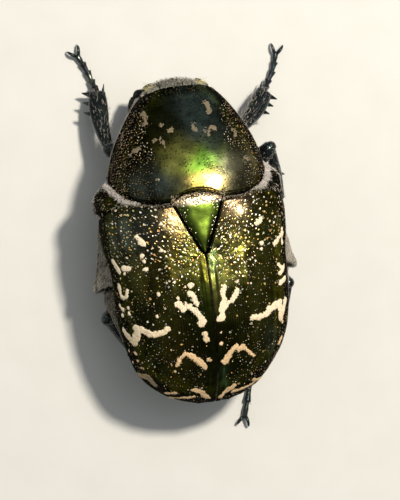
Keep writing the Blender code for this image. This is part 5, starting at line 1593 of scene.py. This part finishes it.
class CHAFER_OT_hair(bpy.types.Operator):
    """Adds the hair of the sides, the scutellum's base, the head, the legs and the underside"""

    bl_idname = "chafer.hair"
    bl_label = "Hair"

    def execute(self, context):
        sizes = context.scene.chafer_sizes
        width = sizes.hair_width / MM
        self.side_hair(sizes.side_hair / MM, width)
        self.under_hair(sizes.under_hair / MM, width)
        self.hip_hair(sizes.under_hair / MM, width)
        self.base_hair(width)
        self.head_hair(width)
        self.leg_hair(width)
        return {"FINISHED"}

    def side_hair(self, length, width):
        """Pale felt along the pronotum's hind corners, thinning outwards."""
        for word, side in SIDES:
            grid = side_plate_grid(side)
            out, z = np.abs(grid[..., 0]), grid[..., 2]
            near = from_the_pronotum(grid[..., 0], grid[..., 1])
            thick = (0.26 if side > 0 else 0.27) * ramp(out, 2.4, 4.0)
            felt = ramp(thick - near, -0.12, 0.06) * (z > SIDE_PLATE_LEVEL)
            weight = (near > 0) * (felt + 0.01 + 0.12 * (1 - ramp(z, 4.7, 5.3)))
            hairs = scatter(grid, HAIR_COUNT["side"], 70 + side, weight)
            hairs = face_out(hairs, mirrored((SIDE_PLATE_MIDDLE,), side)[0])
            hair_coat("side_hair_" + word, "bronze_cuticle", "white_bristle", hairs, (side * 0.5, 0.85, -0.2),
                      length * 1.35, width * 1.5, rise=0.35, spread=0.35, seed=71)

    def under_hair(self, length, width):
        """Long hair on the thorax's sides and underside, shorter on the belly's sides."""
        hairs = scatter(prosternum_grid(), HAIR_COUNT["breast"], 81)
        hair_coat("breast_hair", "black_cuticle", "silver_bristle", hairs, (0, 0.9, -0.3), length * 0.8,
                  width, rise=0.35, spread=0.25, seed=82)
        grid = trunk_grid(np.linspace(6.1, THORAX_REAR - 0.1, 80))
        weight = (0.12 + 1.6 * ramp(np.abs(grid[..., 0]), 4.2, 5.0)) * plate_furrows(grid)
        grid[..., 1] -= hind_notch(grid)
        hairs = scatter(grid, HAIR_COUNT["thorax"], 83, weight)
        away = np.sign(hairs[0][:, 0])
        lie = np.c_[away * 0.3, 1 + 0 * away, -0.3 + 0 * away]
        hair_coat("thorax_hair", "black_cuticle", "silver_bristle", hairs, lie, length * 0.8, width * 1.7,
                  rise=0.14, spread=0.14, seed=84)
        grid = trunk_grid(np.linspace(10.95, 16.3, 110))
        side = ramp(np.abs(grid[..., 0]) / smooth(TRUNK_SIDE, grid[..., 1]), 0.75, 0.95)
        along_plate = np.interp(grid[..., 1], (10.9, *VENTRITES), np.arange(len(VENTRITES) + 1)) % 1
        band = ramp(along_plate, 0.0, 0.12) * (1 - ramp(along_plate, 0.55, 0.8))
        hairs = scatter(grid, HAIR_COUNT["belly"], 85, 0.05 + side * (0.15 + band))
        hair_coat("belly_hair", "bronze_cuticle", "silver_bristle", hairs, (0, 1.0, 0), length * 0.45, width,
                  rise=0.15, spread=0.25, seed=86)

    def hip_hair(self, length, width):
        """Hair on the outer faces of the hind coxae."""
        middle, radii = COXA_FACE
        for word, side in SIDES:
            at = mirrored((middle,), side)[0]
            points, _ = ball(at, radii, 48)
            grid = points.reshape(-1, 48, 3)[:, ::-1]
            outer = (grid[..., 0] * side > middle[0] - 0.1) + 0.0
            hairs = face_out(scatter(grid, HAIR_COUNT["hip"], 87, outer), at)
            hair_coat("hip_hair_" + word, "bronze_cuticle", "silver_bristle", hairs, (0, 1.0, -0.1),
                      length * 0.6, width * 1.2, rise=0.15, spread=0.25, seed=88)

    def base_hair(self, width):
        """Short gold hair on the scutellum's front, silver along the elytra's base and the pronotum's rim."""
        rng = np.random.default_rng(91)
        count = HAIR_COUNT["scutellum"]
        x, s = rng.uniform(-1.5, 1.5, count), rng.uniform(6.12, 6.75, count)
        roots = np.c_[x, s, smooth(ELYTRA_CREST, s) - 0.9 * scutellar_dip(x, s)]
        hairs = roots, np.tile((0, -0.1, 0.995), (count, 1)), np.c_[x / 3 + 0.5, (s - 6.1) / 0.7]
        hair_coat("scutellum_hair", "green_cuticle", "golden_bristle", hairs, (0, 1.0, 0),
                  HAIR_LENGTH["scutellum"], width * 0.8, rise=0.3, spread=0.5, seed=92)
        count = HAIR_COUNT["shoulder"]
        x = rng.choice((-1, 1), count) * rng.uniform(1.5, 4.6, count)
        s = smooth(ELYTRA_FRONT, np.abs(x) / ELYTRA_SIDE[0][1]) + rng.uniform(0.0, 0.28, count) ** 1.5
        roots = np.c_[x, s, elytra_lift(x, s) - scutellar_dip(x, s) - 0.1]
        normals = unit(np.c_[x * 0.1, 0 * x - 0.4, 0 * x + 0.92])
        hairs = roots, normals, np.c_[x / 10 + 0.5, s - 6]
        hair_coat("shoulder_hair", "bronze_cuticle", "silver_bristle", hairs, (0, 1.0, 0),
                  HAIR_LENGTH["shoulder"], width * 0.7, rise=0.5, spread=0.4, seed=93)
        count = HAIR_COUNT["rim"]
        side = rng.choice((-1, 1), count)
        s = rng.uniform(0.2, 5.0, count)
        x = side * (smooth(PRONOTUM_SIDE, s) - 0.1)
        roots = np.c_[x, s, smooth(PRONOTUM_EDGE, s) - 0.12]
        hairs = roots, np.c_[side * 0.6, 0 * x, -0.8 + 0 * x], np.c_[side * 0.4 + 0.5, s / 5.2]
        hair_coat("rim_hair", "bronze_cuticle", "silver_bristle", hairs, np.c_[side * 1.0, 0 * x, 0 * x],
                  HAIR_LENGTH["rim"], width * 0.8, rise=0.2, spread=0.4, seed=94)

    def head_hair(self, width):
        """Grey hair on the head and under the pronotum's front edge, and a yellow tuft before each eye."""
        grid, _ = head_grid(60, 72)
        grid = grid[2:-2, ::-1]
        hairs = scatter(grid, HAIR_COUNT["head"], 95, 0.35 + ramp(grid[..., 2], 3.0, 3.6))
        hair_coat("head_hair", "black_cuticle", "grey_bristle", hairs, (0, -0.5, -0.8), HAIR_LENGTH["head"],
                  width, rise=0.7, spread=0.4, seed=96)
        rng = np.random.default_rng(99)
        count = HAIR_COUNT["collar"]
        share = rng.uniform(-1, 1, count)
        s = rng.uniform(0.15, 0.4, count)
        roots = np.c_[share * 1.65, s, 4.3 + 0.95 * np.sqrt(1 - share**2 * 0.85) * (0.62 + s)]
        normals = unit(np.c_[share * 0.6, -0.5 + 0 * s, 0.75 + 0 * s])
        hairs = roots, normals, np.c_[share * 0.5 + 0.5, s * 2]
        hair_coat("collar_hair", "black_cuticle", "grey_bristle", hairs, (0, -1.0, -0.6),
                  HAIR_LENGTH["collar"], width * 1.2, rise=0.3, spread=0.3, seed=100)
        count = HAIR_COUNT["brow"]
        for word, side in SIDES:
            u, v = np.random.default_rng(97 + side).uniform(0, 1, (count, 2)).T
            roots = np.array((side * 1.1, 0.05, 3.72)) + np.c_[side * u * 0.35, -v * 0.3, -u * 0.25]
            hairs = roots, np.tile((side * 0.45, -0.45, 0.77), (count, 1)), np.c_[u, v]
            hair_coat("brow_tuft_" + word, "black_cuticle", "yellow_bristle", hairs, (side * 0.9, -0.3, 0.1),
                      HAIR_LENGTH["brow"], width * 1.9, rise=0.8, spread=0.6, seed=98)

    def leg_hair(self, width):
        """Fringes on the femora and tibiae."""
        for word in ("left", "right"):
            hairs, lies = [], []
            for k, pair in enumerate(("front", "middle", "hind")):
                coxa, knee, ankle, _ = (np.array(p, float) for p in LEGS[f"{pair}_{word}"])
                tibia = knee, (knee + ankle) / 2, ankle
                limbs = (("femur", femur_line(coxa, knee), FEMUR_HALVES),
                         ("tibia", tibia, TIBIA_HALVES[pair]))
                for m, (part, line, halves) in enumerate(limbs):
                    points, _ = tube(line, halves, steps=40, sides=24)
                    grid = points.reshape(-1, 24, 3)[2:-2, ::-1]
                    roots, normals, spots = scatter(grid, HAIR_COUNT[part], 300 + 10 * k + m)
                    hairs.append((roots, normals, (spots + (2 * k + m, 0)) / (6, 1)))
                    lies.append(np.tile(unit(line[2] - line[0]), (len(roots), 1)))
            hairs = [np.concatenate(v) for v in zip(*hairs)]
            hair_coat("leg_hair_" + word, "black_cuticle", "silver_bristle", hairs, np.concatenate(lies),
                      HAIR_LENGTH["leg"], width * 0.8, rise=0.45, spread=0.25, seed=301)


class CHAFER_OT_stage(bpy.types.Operator):
    """Adds the pale floor, the soft lights and the camera"""

    bl_idname = "chafer.stage"
    bl_label = "Stage"

    def execute(self, context):
        scene = context.scene
        floor = bpy.data.meshes.new("floor")
        half = FLOOR_SIZE / 2
        z = CAD_BOX[0].z
        corners = [(-half, -half, z), (half, -half, z), (half, half, z), (-half, half, z)]
        floor.from_pydata(corners, [], [(0, 1, 2, 3)])
        floor.materials.append(matt_card("matt_card"))
        ground = bpy.data.objects.new("floor", floor)
        scene.collection.objects.link(ground)
        world = bpy.data.worlds.new("soft_room")
        scene.world = world
        world.use_nodes = True
        back = world.node_tree.nodes["Background"]
        back.inputs["Color"].default_value = hex_colour("#F2F4F4")
        back.inputs["Strength"].default_value = ROOM_LIGHT
        target = Vector(as_metres(AIM))
        for name, settings in LIGHTS.items():
            self.light(name, target, *settings)
        self.camera(target)
        scene.view_settings.view_transform = "Standard"
        return {"FINISHED"}

    def light(self, name, target, way, distance, size, power, colour):
        """A round soft light that faces the target."""
        lamp = bpy.data.lights.new(name, "AREA")
        lamp.shape = "DISK"
        lamp.size = size
        lamp.energy = power
        lamp.color = hex_colour(colour)[:3]
        holder = bpy.data.objects.new(name, lamp)
        way = Vector(way).normalized()
        holder.location = target + way * distance
        holder.rotation_mode = "QUATERNION"
        holder.rotation_quaternion = way.to_track_quat("Z", "Y")
        bpy.context.scene.collection.objects.link(holder)

    def camera(self, target):
        """The camera over the beetle's left side, its head towards the top of the view."""
        roll, pitch, turn = (math.radians(a) for a in (CAMERA_LEAN, CAMERA_PITCH, CAMERA_TURN))
        back = Vector((math.sin(roll) * math.cos(pitch), math.sin(pitch), math.cos(roll) * math.cos(pitch)))
        level = Vector((0, -1, 0))
        level = (level - back * level.dot(back)).normalized()
        across = level.cross(back)
        up = level * math.cos(turn) + across * math.sin(turn)
        right = up.cross(back)
        lens = bpy.data.cameras.new("camera")
        lens.sensor_width = 36
        lens.sensor_fit = "AUTO"
        lens.lens = FOCAL_LENGTH
        lens.clip_start, lens.clip_end = 0.01, 5
        holder = bpy.data.objects.new("camera", lens)
        eye = target + (right * AIM_SHIFT[0] + up * AIM_SHIFT[1] + back * CAMERA_DISTANCE) * MM
        holder.matrix_world = Matrix.Translation(eye) @ Matrix((right, up, back)).transposed().to_4x4()
        bpy.context.scene.collection.objects.link(holder)
        bpy.context.scene.camera = holder


class CHAFER_PT_panel(bpy.types.Panel):
    """Lists the chafer's pieces and their sizes"""

    bl_label = "Copper Chafer"
    bl_idname = "CHAFER_PT_panel"
    bl_space_type = "VIEW_3D"
    bl_region_type = "UI"
    bl_category = "Chafer"

    def draw(self, context):
        for group in (context.scene.chafer_sizes, context.scene.chafer_colours):
            for name in group.__annotations__:
                self.layout.prop(group, name)
        for step in STEPS:
            self.layout.operator(step.bl_idname)


STEPS = (CHAFER_OT_materials, CHAFER_OT_pronotum, CHAFER_OT_elytra, CHAFER_OT_scutellum, CHAFER_OT_trunk,
         CHAFER_OT_head, CHAFER_OT_legs, CHAFER_OT_hair, CHAFER_OT_stage)
CLASSES = (ChaferSizes, ChaferColours, *STEPS, CHAFER_PT_panel)


def register():
    for made in CLASSES:
        bpy.utils.register_class(made)
    bpy.types.Scene.chafer_sizes = bpy.props.PointerProperty(type=ChaferSizes)
    bpy.types.Scene.chafer_colours = bpy.props.PointerProperty(type=ChaferColours)


def unregister():
    del bpy.types.Scene.chafer_colours
    del bpy.types.Scene.chafer_sizes
    for made in reversed(CLASSES):
        bpy.utils.unregister_class(made)


def main():
    register()
    bpy.ops.chafer.materials()
    bpy.ops.chafer.pronotum()
    bpy.ops.chafer.elytra()
    bpy.ops.chafer.scutellum()
    bpy.ops.chafer.trunk()
    bpy.ops.chafer.head()
    bpy.ops.chafer.legs()
    bpy.ops.chafer.hair()
    bpy.ops.chafer.stage()


if __name__ == "__main__":
    main()
